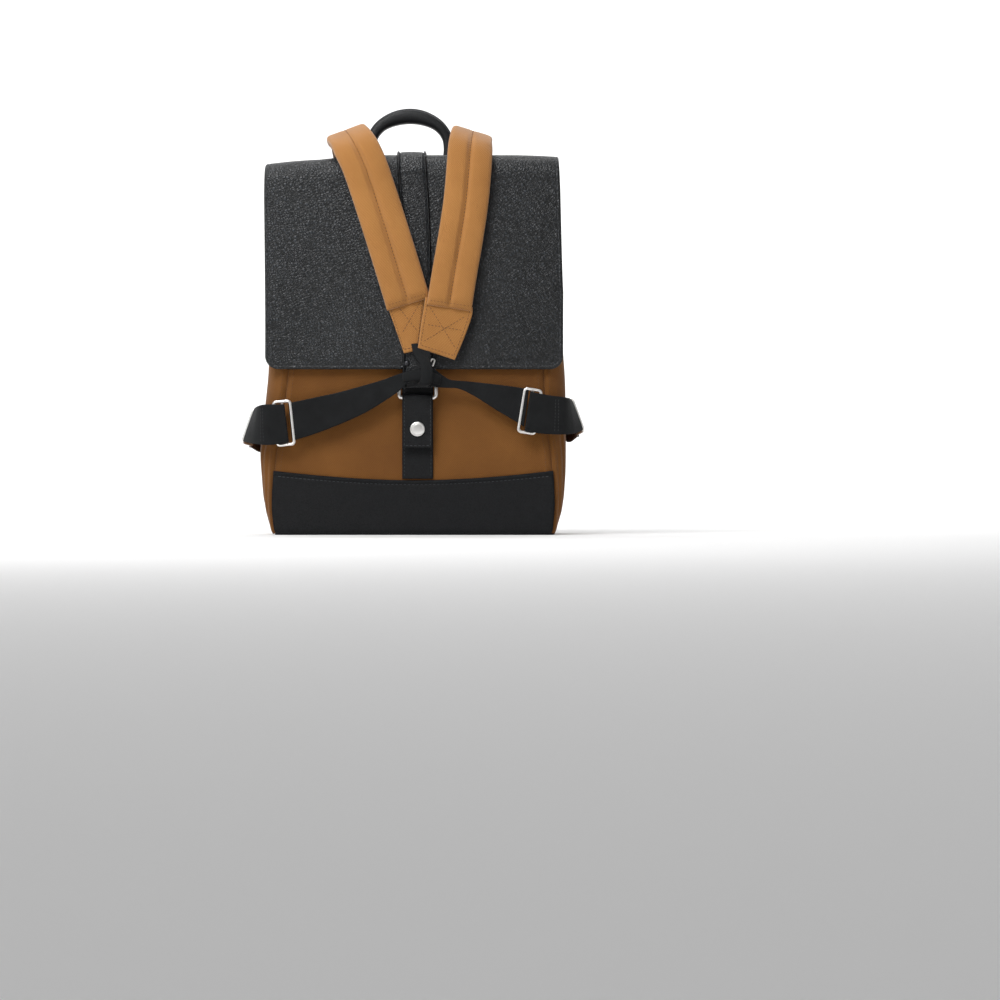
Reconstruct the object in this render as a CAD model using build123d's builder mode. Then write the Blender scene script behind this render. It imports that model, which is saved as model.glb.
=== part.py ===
from build123d import *
from math import atan2, cos, degrees, radians, sin
import os

os.makedirs("parts", exist_ok=True)

# Driving dimensions in millimetres. The bag stands on z = 0, its front faces -Y, its rack side +Y.
body_width = 306.0          # across the side panels at the mouth
body_depth = 128.0          # from the front panel's face to the back panel's face
body_height = 386.0         # up to the mouth
wall = 2.0                  # canvas with its backing
corner_radius = 22.0        # upright corners of the body
base_thickness = 3.0
gap = 0.3                   # clearance between pieces that move past each other
touch = 0.2                 # clearance between sewn layers
seam_half = 138.0           # half the width between the two front seams

cover_thickness = 1.6       # leather base cover
cover_side_height = 68.0
cover_middle_height = 58.0
binding_thickness = 1.2
binding_height = 6.0
board_thickness = 2.0       # stiffeners in the base and the back
sleeve_depth = 19.0         # room behind the divider
divider_thickness = 2.5
divider_height = 285.0

flap_overhang = 3.5         # how far the flap stands out past each side
flap_drop = 228.0           # from the flap's top to its lower edge
flap_roll = 18.0            # radius of the roll-over at the front
flap_corner = 14.0
flap_rise = 16.0            # the flap's top, above the mouth
hinge_below = 6.0           # the fold line, under the flap's top
leather = 2.4
lining = 1.0
flap_room = 2.1             # between the front panel and the lining
hinge_inset = 12.0          # the flap's fold line, in from the back panel's face
band_width = 31.0           # raised band down the middle of the flap
band_thickness = 2.5
band_x = 3.5                # the closure sits a little off the middle
tongue_drop = 20.0          # how far the band runs past the flap's lower edge

strap_leather = 2.0         # each layer of the closure strap
closure_width = 31.0
fold_drop = 30.0            # the closure strap's fold, below the flap's edge
snap_drop = 33.0            # the snap's centre, below the fold
tab_length = 53.0
snap_cap_radius = 7.6
snap_post_radius = 2.3
wire_radius = 2.0           # closure ring
ring_height = 24.0          # between the centres of its two cross bars
ring_side_room = 4.0        # the ring's inner half width past the strap's

strap_thickness = 11.0      # padded shoulder strap
strap_width = 46.0
tab_thickness = 2.5         # flat canvas tabs at the straps' ends
webbing_thickness = 1.6
webbing_width = 39.0
knot_size = (38.0, 20.0, 29.0)
slider_length = 18.0
slider_wire = 1.6           # radius of its three cross bars
slider_below = {"left": 57.0, "right": 45.0}    # each slider's centre, below the flap's lower edge
slider_inset = {"left": 28.5, "right": 42.0}    # and in from the widest part of the side
slider_reach = 28.0         # how far in from a slider the webbing keeps its full width
side_wire = 1.75            # radius of the side rings' wire
side_ring_length = 18.0
side_tab_height = 20.0

handle_x = -8.5
handle_radius = 36.0        # the grip's centre line over the arch
handle_rise = 25.0          # from the flap's top up to the arch's centre
grip_wide = 14.0
grip_deep = 11.0
core_radius = 3.0

tube_radius = 8.0           # rack tube that the hooks take
tube_height = 297.0
tube_behind = 24.0          # the tube's axis, behind the back panel
hook_spacing = 180.0
rail_length = 250.0
rail_above_tube = 37.0
rail_height = 28.0
rail_head = 3.5
rail_web_depth = 5.3
rail_web_height = 16.0
carriage_width = 36.0
cheek = 7.0                 # each of a hook's two side plates
latch_width = 9.0
pin_radius = 2.0
pin_clearance = 0.05
screw_radius = 2.0
lower_height = 100.0        # height of the lower hook's pivot
lower_radius = 13.0

# Faces and lines that several pieces share.
half_depth = body_depth / 2
back_y = half_depth
front_y = -half_depth
mouth_half = body_width / 2
flap_inner_y = front_y - flap_room
panel_back_y = flap_inner_y - lining - touch
panel_front_y = panel_back_y - leather
flap_top = body_height + flap_rise
flap_bottom = flap_top - flap_drop
hinge_y = back_y - hinge_inset
hinge_z = flap_top - hinge_below
flap_half = mouth_half + flap_overhang
band_front_y = panel_front_y - touch / 2 - band_thickness
strap_back_y = band_front_y - gap
strap_front_y = strap_back_y - strap_thickness
fold_z = flap_bottom - fold_drop
ring_z = fold_z
rear_layer_y = front_y - touch
ring_y = rear_layer_y - strap_leather - gap - wire_radius
front_layer_y = ring_y - wire_radius - gap
tongue_back_y = band_front_y + touch * 4
tongue_front_y = tongue_back_y - strap_leather - touch
webbing_back_y = tongue_front_y - gap
webbing_y = webbing_back_y - webbing_thickness / 2


def keep(piece, name):
    piece.part.label = name
    export_step(piece.part, "parts/" + name + ".step")


def spans(x, y, z):
    """A plane at the middle of three (low, high) pairs, and their three lengths."""
    middle = (sum(x) / 2, sum(y) / 2, sum(z) / 2)
    return Plane(middle), (abs(x[1] - x[0]), abs(y[1] - y[0]), abs(z[1] - z[0]))


def box_between(x, y, z, mode=Mode.ADD):
    """A box between low and high values on each axis, added to the part that is being built."""
    place, lengths = spans(x, y, z)
    with Locations(place):
        Box(*lengths, mode=mode)


# The body's outline: height and how far each side stands out past the mouth's half width.
swell = [(0, -10), (14, -1), (45, 5.5), (85, 10), (125, 9), (180, 4.5), (260, 2), (body_height, 0)]


def body_solid(inset):
    """The bag's outer shape, or its inside when inset by the wall."""
    with BuildPart() as solid:
        for z, out in swell:
            with BuildSketch(Plane.XY.offset(z)):
                RectangleRounded(
                    2 * (mouth_half + out - inset), body_depth - 2 * inset, corner_radius - inset
                )
        loft(ruled=True)
    return solid.part


outer_body = body_solid(0)
inner_body = body_solid(wall)
side_max = mouth_half + max(out for z, out in swell)
wall_span = (base_thickness, body_height)
far = body_width

# Front panel, between the two front seams.
with BuildPart() as front_panel:
    add(outer_body)
    add(inner_body, mode=Mode.SUBTRACT)
    box_between((-seam_half, seam_half), (front_y - 1, 0), wall_span, Mode.INTERSECT)
keep(front_panel, "front_panel")

# Back panel, with the holes for the rail's screws.
rail_z = tube_height + rail_above_tube
screw_places = [(x * rail_length / 2 * 0.84, rail_z) for x in (-1, -0.33, 0.33, 1)]
with BuildPart() as back_panel:
    add(outer_body)
    add(inner_body, mode=Mode.SUBTRACT)
    box_between((-seam_half, seam_half), (0, back_y + 1), wall_span, Mode.INTERSECT)
    with BuildSketch(Plane.XZ.offset(-back_y - 1)):
        with Locations(*screw_places):
            Circle(screw_radius + pin_clearance)
    extrude(amount=wall + 2, mode=Mode.SUBTRACT)
keep(back_panel, "back_panel")

# Side gussets, each wrapping round two upright corners.
for side, name in ((-1, "side_panel_left"), (1, "side_panel_right")):
    with BuildPart() as side_panel:
        add(outer_body)
        add(inner_body, mode=Mode.SUBTRACT)
        reach = sorted((side * seam_half, side * far))
        box_between(reach, (-body_depth, body_depth), wall_span, Mode.INTERSECT)
    keep(side_panel, name)

# Base panel that the bag stands on, and the stiff board inside it.
with BuildPart() as base_panel:
    add(outer_body)
    box_between((-far, far), (-body_depth, body_depth), (0, base_thickness), Mode.INTERSECT)
keep(base_panel, "base_panel")

board_half = mouth_half + swell[0][1] - wall - 1
board_top = base_thickness + board_thickness
with BuildPart() as base_board:
    with BuildSketch(Plane.XY.offset(base_thickness)):
        RectangleRounded(2 * board_half, body_depth - 2 * wall - 2, corner_radius - wall)
    extrude(amount=board_thickness)
keep(base_board, "base_board")

# Stiffener against the back panel, and the padded divider that makes the laptop sleeve.
board_y = back_y - wall - touch
with BuildPart() as back_board:
    box_between(
        (-board_half + corner_radius, board_half - corner_radius),
        (board_y - board_thickness, board_y),
        (board_top, body_height - 30),
    )
    with BuildSketch(Plane.XZ.offset(-board_y - 1)):
        with Locations(*screw_places):
            Circle(screw_radius + pin_clearance)
    extrude(amount=board_thickness + 2, mode=Mode.SUBTRACT)
keep(back_board, "back_board")

divider_y = board_y - board_thickness - sleeve_depth
with BuildPart() as sleeve_divider:
    box_between(
        (-board_half + 2, board_half - 2),
        (divider_y - divider_thickness, divider_y),
        (board_top, board_top + divider_height),
    )
keep(sleeve_divider, "sleeve_divider")

# Leather cover over the front of the base, its top edge dipping towards the middle.
with BuildPart() as base_cover:
    with BuildSketch(Plane.XZ.offset(-front_y + touch)):
        with BuildLine():
            low_half = mouth_half + swell[0][1] - corner_radius / 2
            edge = [(-seam_half - 2, cover_side_height), (0, cover_middle_height)]
            edge.append((seam_half + 2, cover_side_height))
            top_edge = ThreePointArc(*edge)
            Polyline(top_edge @ 1, (low_half, 0), (-low_half, 0), top_edge @ 0)
        make_face()
    extrude(amount=cover_thickness)
keep(base_cover, "base_cover")

# Bound edge round the mouth.
with BuildPart() as mouth_binding:
    with BuildSketch(Plane.XY.offset(body_height)):
        grown = 2 * binding_thickness
        RectangleRounded(body_width + grown, body_depth + grown, corner_radius + binding_thickness)
        RectangleRounded(
            body_width - 2 * wall, body_depth - 2 * wall, corner_radius - wall, mode=Mode.SUBTRACT
        )
    extrude(amount=binding_thickness)
    with BuildSketch(Plane.XY.offset(body_height)):
        RectangleRounded(body_width + grown, body_depth + grown, corner_radius + binding_thickness)
        RectangleRounded(
            body_width + touch, body_depth + touch, corner_radius + touch / 2, mode=Mode.SUBTRACT
        )
    extrude(amount=-binding_height)
keep(mouth_binding, "mouth_binding")

# Leather strip along the back of the mouth, which the flap is sewn to.
with BuildPart() as flap_seam_strip:
    box_between(
        (-flap_half + corner_radius, flap_half - corner_radius),
        (hinge_y + 0.8, back_y - 0.5),
        (body_height + binding_thickness, hinge_z - gap),
    )
keep(flap_seam_strip, "flap_seam_strip")


# The flap and what is sewn to it
def rolled_sheet(outer_top, outer_front, thickness, half_width, bottom):
    """A sheet that runs forward over the mouth, rolls over and hangs down the front."""
    roll = flap_roll - (flap_top - outer_top)
    middle_y = outer_front + roll
    middle_z = outer_top - roll
    inside = roll - thickness
    slant = sin(radians(45))
    with BuildPart() as sheet:
        with BuildSketch(Plane.YZ.offset(-half_width)):
            with BuildLine():
                top = Line((hinge_y, outer_top), (middle_y, outer_top))
                halfway = (middle_y - roll * slant, middle_z + roll * slant)
                down = ThreePointArc(top @ 1, halfway, (outer_front, middle_z))
                front = Line(down @ 1, (outer_front, bottom))
                turn = Line(front @ 1, (outer_front + thickness, bottom))
                back = Line(turn @ 1, (outer_front + thickness, middle_z))
                halfway = (middle_y - inside * slant, middle_z + inside * slant)
                under = ThreePointArc(back @ 1, halfway, (middle_y, outer_top - thickness))
                below = Line(under @ 1, (hinge_y, outer_top - thickness))
                Line(below @ 1, top @ 0)
            make_face()
        extrude(amount=2 * half_width)
    return sheet.part


flap_sheet = rolled_sheet(flap_top, panel_front_y, leather, flap_half, flap_bottom)
with BuildPart() as flap_panel:
    add(flap_sheet)
    low_corners = flap_panel.edges().filter_by(Axis.Y).group_by(Axis.Z)[0]
    fillet(low_corners, flap_corner)
keep(flap_panel, "flap_panel")

lining_top = flap_top - leather - touch
lining_front_y = panel_back_y + touch
lining_sheet = rolled_sheet(lining_top, lining_front_y, lining, flap_half - 3, flap_bottom + 3)
with BuildPart() as flap_lining:
    add(lining_sheet)
    low_corners = flap_lining.edges().filter_by(Axis.Y).group_by(Axis.Z)[0]
    fillet(low_corners, flap_corner - 3)
keep(flap_lining, "flap_lining")

# Raised band over the flap, running on past its lower edge as a tongue.
band_top = flap_top + touch / 2 + band_thickness
tongue_end = flap_bottom - tongue_drop
band_sheet = rolled_sheet(band_top, band_front_y, band_thickness, band_width / 2, flap_bottom - 1)
with BuildPart() as flap_band:
    with Locations((band_x, 0, 0)):
        add(band_sheet)
    box_between(
        (band_x - band_width / 2, band_x + band_width / 2),
        (tongue_front_y, tongue_back_y),
        (tongue_end, flap_bottom + 1),
    )
keep(flap_band, "flap_band")

# Clasp: a plate behind the tongue whose lip reaches back under the ring's upper bar.
clasp_half = band_width / 2 - 5
lip_z = ring_z + ring_height - wire_radius - 3.5
with BuildPart() as clasp_hook:
    plate = (tongue_back_y, tongue_back_y + 1.1)
    reach = (band_x - clasp_half, band_x + clasp_half)
    box_between(reach, plate, (tongue_end + 2, flap_bottom - 2.5))
    box_between(reach, (tongue_back_y, ring_y + 3.2), (lip_z - 2.5, lip_z))
keep(clasp_hook, "clasp_hook")

rivet_radius = 2.6
rivet_inset = 4.5
rivet_x = band_width / 2 - rivet_inset
rivet_z = flap_bottom + 6.0
with BuildPart() as clasp_rivets:
    with BuildSketch(Plane.XZ.offset(-band_front_y)):
        with Locations((band_x - rivet_x, rivet_z), (band_x + rivet_x, rivet_z)):
            Circle(rivet_radius)
    extrude(amount=1.2)
keep(clasp_rivets, "clasp_rivets")

# Closure strap: a rear layer that is sewn to the base cover and folds over the ring's lower bar.
closure_span = (band_x - closure_width / 2, band_x + closure_width / 2)
fold_inner = wire_radius + gap
fold_outer = fold_inner + strap_leather
with BuildPart() as closure_strap:
    rear_layer = (rear_layer_y - strap_leather, rear_layer_y)
    box_between(closure_span, rear_layer, (cover_middle_height + 2 * touch, fold_z))
    with BuildSketch(Plane.YZ.offset(closure_span[0])):
        with Locations((ring_y, ring_z)):
            Circle(fold_outer)
            Circle(fold_inner, mode=Mode.SUBTRACT)
        with Locations((ring_y, ring_z - fold_outer / 2)):
            Rectangle(3 * fold_outer, fold_outer, mode=Mode.SUBTRACT)
        with Locations((ring_y - fold_outer, ring_z)):
            Rectangle(2 * strap_leather + fold_inner, 2.6, mode=Mode.SUBTRACT)
    extrude(amount=closure_width)
keep(closure_strap, "closure_strap")

snap_z = fold_z - snap_drop
stud_base = 1.2
with BuildPart() as snap_stud:
    with BuildSketch(Plane.XZ.offset(-rear_layer_y + strap_leather)):
        with Locations((band_x, snap_z)):
            Circle(5.0)
    extrude(amount=stud_base)
    with BuildSketch(Plane.XZ.offset(-rear_layer_y + strap_leather)):
        with Locations((band_x, snap_z)):
            Circle(snap_post_radius)
    extrude(amount=ring_y - front_layer_y + wire_radius - 0.7)
keep(snap_stud, "snap_stud")

# Rectangular ring, leaning back so that its upper bar lies closer to the bag.
ring_half = closure_width / 2 + ring_side_room / 2 + wire_radius
ring_lean = 1.8
with BuildPart() as closure_ring:
    with BuildLine():
        high_y = ring_y + ring_lean
        corners = [(band_x + x * ring_half, y, z) for x, y, z in (
            (-1, ring_y, ring_z), (1, ring_y, ring_z),
            (1, high_y, ring_z + ring_height), (-1, high_y, ring_z + ring_height),
        )]
        ring_path = FilletPolyline(*corners, radius=4, close=True)
    with BuildSketch(Plane(ring_path @ 0, z_dir=ring_path % 0)):
        Circle(wire_radius)
    sweep()
keep(closure_ring, "closure_ring")

# Snap tab: the front layer of the closure strap, with its cap and socket.
tab_pivot_y = front_layer_y - strap_leather / 2
with BuildPart() as snap_tab:
    with BuildSketch(Plane.YZ.offset(closure_span[0])):
        with Locations((tab_pivot_y, fold_z - tab_length / 2)):
            Rectangle(strap_leather, tab_length)
        with Locations((tab_pivot_y, fold_z)):
            Circle(strap_leather / 2)
    extrude(amount=closure_width)
keep(snap_tab, "snap_tab")

with BuildPart() as snap_cap:
    with BuildSketch(Plane.XZ.offset(-front_layer_y + strap_leather)):
        with Locations((band_x, snap_z)):
            Circle(snap_cap_radius)
    extrude(amount=1.8)
    fillet(snap_cap.faces().sort_by(Axis.Y)[0].edges(), 1.2)
keep(snap_cap, "snap_cap")

with BuildPart() as snap_socket:
    with BuildSketch(Plane.XZ.offset(-front_layer_y)):
        with Locations((band_x, snap_z)):
            Circle(5.5)
            Circle(snap_post_radius + gap, mode=Mode.SUBTRACT)
    extrude(amount=-1.8)
keep(snap_socket, "snap_socket")


# The shoulder straps, drawn over the flap and knotted in front of the tongue
padding_end = flap_bottom + 67.0
plank_top = flap_top - 2.0
strap_low_x = (-5.4, 36.6)       # centre of each strap's padded end
strap_lean = (19.1, -7.0)        # degrees from upright, towards -X
arch_inner = (-52.0, 36.0)       # inner edge of each strap where it goes over the top
arch_width = strap_width + 2


def leaning_plank(low_x, lean, low_z, high_z, width):
    """The outline of a strap that leans sideways, as four corners in X and Z."""
    slope = sin(radians(lean)) / cos(radians(lean))
    half = width / 2 / cos(radians(lean))
    high_x = low_x - slope * (high_z - low_z)
    tilt = half * slope * 0.8
    return [
        (low_x - half, low_z - tilt / 2), (low_x + half, low_z + tilt / 2),
        (high_x + half, high_z), (high_x - half, high_z),
    ]


apex_y = (front_y + hinge_y) / 2 + 8
apex_z = flap_top + 43.0
arch_outline = [
    (strap_front_y, plank_top - 22), (strap_front_y, plank_top - 8), (apex_y - 57, flap_top + 17),
    (apex_y - 20, apex_z - 2), (apex_y + 4, apex_z), (hinge_y - 22, flap_top + 28),
    (hinge_y - 12, flap_top + 17), (hinge_y - 12, flap_top + 6), (hinge_y - 28, flap_top + 16),
    (apex_y + 2, apex_z - 12), (apex_y - 16, apex_z - 13), (apex_y - 50, flap_top + 8),
    (strap_back_y, plank_top - 8), (strap_back_y, plank_top - 22),
]
anchor_outline = [
    (hinge_y - 11.6, flap_top + 16.5), (hinge_y + 6, flap_top + 12), (back_y + 10, flap_top - 3),
    (back_y + 10, body_height - 32), (back_y + binding_thickness + gap, body_height - 32),
    (back_y + binding_thickness + gap, flap_top - 3), (hinge_y + 4, flap_top + 3),
    (hinge_y - 11.6, flap_top + 6),
]
ends = (("left", 0, -1), ("right", 1, 1))
# The right strap crosses over the left one's lower corner, which gives way to it.
right_plank = (strap_low_x[1], strap_lean[1], padding_end, plank_top, strap_width + 2 * gap)
for name, i, side in ends:
    inner = arch_inner[i]
    edge = min(inner, inner + side * arch_width)
    with BuildPart() as shoulder_strap:
        with BuildSketch(Plane.XZ.offset(-strap_back_y)):
            with BuildLine():
                plank = leaning_plank(strap_low_x[i], strap_lean[i], padding_end, plank_top, strap_width)
                Polyline(*plank, close=True)
            make_face()
        extrude(amount=strap_thickness)
        if name == "left":
            with BuildSketch(Plane.XZ.offset(-strap_back_y)):
                with BuildLine():
                    Polyline(*leaning_plank(*right_plank), close=True)
                make_face()
            extrude(amount=strap_thickness, mode=Mode.SUBTRACT)
        with BuildSketch(Plane.YZ.offset(edge)):
            with BuildLine():
                Polyline(*arch_outline, close=True)
            make_face()
        extrude(amount=arch_width)
    keep(shoulder_strap, "shoulder_strap_" + name)
    with BuildPart() as strap_anchor:
        with BuildSketch(Plane.YZ.offset(edge)):
            with BuildLine():
                Polyline(*anchor_outline, close=True)
            make_face()
        extrude(amount=arch_width)
    keep(strap_anchor, "strap_anchor_" + name)

# Flat canvas ends of the straps, the right one lying over the left one.
low_tab = flap_bottom + 16.0
tab_corners = {
    "left": [(-21, -6), (9.5, 2), (4, 3), (-9, 0)],
    "right": [(14.8, -1), (57, -12), (42, -9), (4.5, 3)],
}
tab_shift = {"left": 0, "right": tab_thickness + gap}
for name in tab_corners:
    top_a, top_b, low_a, low_b = tab_corners[name]
    outline = [(x, padding_end + z) for x, z in (top_a, top_b)]
    outline += [(x, low_tab + z) for x, z in (low_a, low_b)]
    with BuildPart() as strap_end:
        with BuildSketch(Plane.XZ.offset(-strap_back_y + tab_shift[name])):
            with BuildLine():
                Polyline(*outline, close=True)
            make_face()
        extrude(amount=tab_thickness)
    keep(strap_end, "strap_end_" + name)

# The knot, and the webbing that fans out from it to the side rings.
knot_x = band_x + 2
knot_z = flap_bottom - 5.0
knot_back_y = webbing_back_y - webbing_thickness - gap
with BuildPart() as strap_knot:
    with Locations((knot_x, knot_back_y - knot_size[1] / 2, knot_z)):
        Box(*knot_size)
    fillet(strap_knot.edges(), 6)
keep(strap_knot, "strap_knot")

band_end_x = side_max - 1.0              # where the webbing bends round the side
webbing_side = (
    ("left", -1, 13.0, [(10, -3.5, 6.5), (58, -20, 13)]),
    ("right", 1, 12.0, [(12, -2, 6), (40, -12, 7)]),
)
for name, side, slope, stations in webbing_side:
    slider_z = flap_bottom - slider_below[name]
    slider_x = side_max - slider_inset[name]
    fall = sin(radians(slope)) / cos(radians(slope))
    wide = webbing_width / 2 / cos(radians(slope))
    route = [(knot_x + side * x, knot_z + z, half) for x, z, half in stations]
    for x in (slider_x - slider_reach, band_end_x):
        route.append((side * x, slider_z - fall * (x - slider_x), wide))
    outline = [(x, z + half) for x, z, half in route]
    outline += [(x, z - half) for x, z, half in reversed(route)]
    with BuildPart() as webbing:
        with BuildSketch(Plane.XZ.offset(-webbing_back_y)):
            with BuildLine():
                Polyline(*outline, close=True)
            make_face()
        extrude(amount=webbing_thickness)
    keep(webbing, "webbing_" + name)

    # Slider: two end bars before the webbing, a middle bar behind it, joined above and below.
    along = Vector(side * cos(radians(slope)), 0, -sin(radians(slope)))
    place = Plane((side * slider_x, webbing_y, slider_z), x_dir=along, z_dir=(0, -1, 0))
    bar_lift = webbing_thickness / 2 + gap + slider_wire
    bar_length = webbing_width + 2 * gap
    end_offset = bar_length / 2 + slider_wire
    with BuildPart(place) as slider:
        for x, lift in ((-1, 1), (0, -1), (1, 1)):
            centre = (x * (slider_length / 2 - slider_wire), 0, lift * bar_lift)
            with Locations(centre):
                Box(2 * slider_wire, bar_length, 2 * slider_wire)
        with Locations((0, end_offset, 0), (0, -end_offset, 0)):
            Box(slider_length, 2 * slider_wire, 2 * (bar_lift + slider_wire))
    keep(slider, "slider_" + name)

    # Double webbing from the bend back along the side to the ring.
    end_z = slider_z - fall * (band_end_x - slider_x)
    ring_front = Vector(side * (side_max + 13.5), -28, 0)
    bend_a = Vector(side * (band_end_x + gap + webbing_thickness / 2), webbing_y, 0)
    bend_b = Vector(side * (side_max + 5), front_y - 6, 0)
    ring_room = side_wire + gap + webbing_thickness / 2
    stop = ring_front + (bend_b - ring_front).normalized() * ring_room
    with BuildPart() as side_webbing:
        with BuildSketch(Plane.XY.offset(end_z - webbing_width / 2)):
            with BuildLine():
                Polyline(bend_a, bend_b, stop)
            trace(line_width=webbing_thickness)
        extrude(amount=webbing_width)
    keep(side_webbing, "side_webbing_" + name)

    ring_rear = Vector(side * (side_max + 6.5), -28 + side_ring_length, 0)
    flat = (ring_rear - ring_front).normalized()
    centre = (ring_front + ring_rear) / 2 + Vector(0, 0, end_z)
    across = flat.cross(Vector(0, 0, 1))
    span = (ring_rear - ring_front).length
    with BuildPart() as side_ring:
        with BuildSketch(Plane(centre, x_dir=flat, z_dir=across)):
            ring_tall = webbing_width + 2 * (gap + side_wire)
            RectangleRounded(span + 2 * side_wire, ring_tall + 2 * side_wire, 3)
            Rectangle(span - 2 * side_wire, ring_tall - 2 * side_wire, mode=Mode.SUBTRACT)
        extrude(amount=side_wire, both=True)
    keep(side_ring, "side_ring_" + name)

    # Leather tab, sewn to the gusset, whose eye holds the ring's rear bar.
    eye = (ring_rear.X, ring_rear.Y)
    eye_inner = side_wire * 1.5 + gap
    plate_x = side * (side_max + touch + 1.5)
    with BuildPart() as side_tab:
        with BuildSketch(Plane.XY.offset(end_z - side_tab_height / 2)):
            with Locations(eye):
                Circle(eye_inner + 2)
            with Locations((plate_x, eye[1] + 18)):
                Rectangle(3, 34)
            with Locations(eye):
                Circle(eye_inner, mode=Mode.SUBTRACT)
        extrude(amount=side_tab_height)
    keep(side_tab, "side_tab_" + name)


# Carrying handle: a leather grip over a round core, its legs seated on two sewn leather tabs
grip_y = back_y + grip_deep / 2 + 3.5
foot_z = body_height + 2.0
foot_radius = grip_deep / 2
arch_z = flap_top + handle_rise


def handle_path():
    """Up one leg, over the arch and down the other leg."""
    left = handle_x - handle_radius
    right = handle_x + handle_radius
    first = Line((left, grip_y, foot_z), (left, grip_y, arch_z))
    over = ThreePointArc(first @ 1, (handle_x, grip_y, arch_z + handle_radius), (right, grip_y, arch_z))
    Line(over @ 1, (right, grip_y, foot_z))


foot_plane = Plane((handle_x - handle_radius, grip_y, foot_z))
with BuildPart() as handle_grip:
    with BuildLine():
        handle_path()
    with BuildSketch(foot_plane):
        Ellipse(grip_wide / 2, grip_deep / 2)
        Circle(core_radius, mode=Mode.SUBTRACT)
    sweep()
    for x in (-1, 1):
        with BuildSketch(Plane.YZ.offset(handle_x + x * handle_radius - grip_wide / 2)):
            with Locations((grip_y, foot_z)):
                Circle(foot_radius)
            with Locations((grip_y, foot_z + foot_radius / 2)):
                Rectangle(grip_deep, foot_radius, mode=Mode.SUBTRACT)
        extrude(amount=grip_wide)
keep(handle_grip, "handle_grip")

with BuildPart() as handle_core:
    with BuildLine():
        handle_path()
    with BuildSketch(foot_plane):
        Circle(core_radius)
    sweep()
keep(handle_core, "handle_core")

seat_z = foot_z - foot_radius - gap
tab_face = back_y + binding_thickness + touch
for x, name in ((-1, "handle_tab_left"), (1, "handle_tab_right")):
    leg = handle_x + x * handle_radius
    reach = (leg - grip_wide / 2, leg + grip_wide / 2)
    with BuildPart() as handle_tab:
        box_between(reach, (tab_face, tab_face + 2.4), (seat_z - 36, seat_z))
        box_between(reach, (tab_face, grip_y + foot_radius), (seat_z - 6, seat_z))
    keep(handle_tab, name)

# Rail on the back panel, a T in section, and the screws that hold it from inside
head_y = back_y + touch + rail_web_depth
head_end_y = head_y + rail_head
rail_span = (-rail_length / 2, rail_length / 2)
screw_end_y = head_y + 1.0
with BuildPart() as rack_rail:
    web = rail_web_height / 2
    box_between(rail_span, (back_y + touch, head_y), (rail_z - web, rail_z + web))
    box_between(rail_span, (head_y, head_end_y), (rail_z - rail_height / 2, rail_z + rail_height / 2))
    with BuildSketch(Plane.XZ.offset(-back_y)):
        with Locations(*screw_places):
            Circle(screw_radius)
    extrude(amount=-(screw_end_y - back_y), mode=Mode.SUBTRACT)
keep(rack_rail, "rack_rail")

with BuildPart() as rail_screws:
    inner_face = board_y - board_thickness
    with BuildSketch(Plane.XZ.offset(-inner_face)):
        with Locations(*screw_places):
            Circle(screw_radius)
    extrude(amount=-(screw_end_y - inner_face))
    with BuildSketch(Plane.XZ.offset(-inner_face)):
        with Locations(*screw_places):
            Circle(2 * screw_radius)
    extrude(amount=2.0)
keep(rail_screws, "rail_screws")

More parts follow.
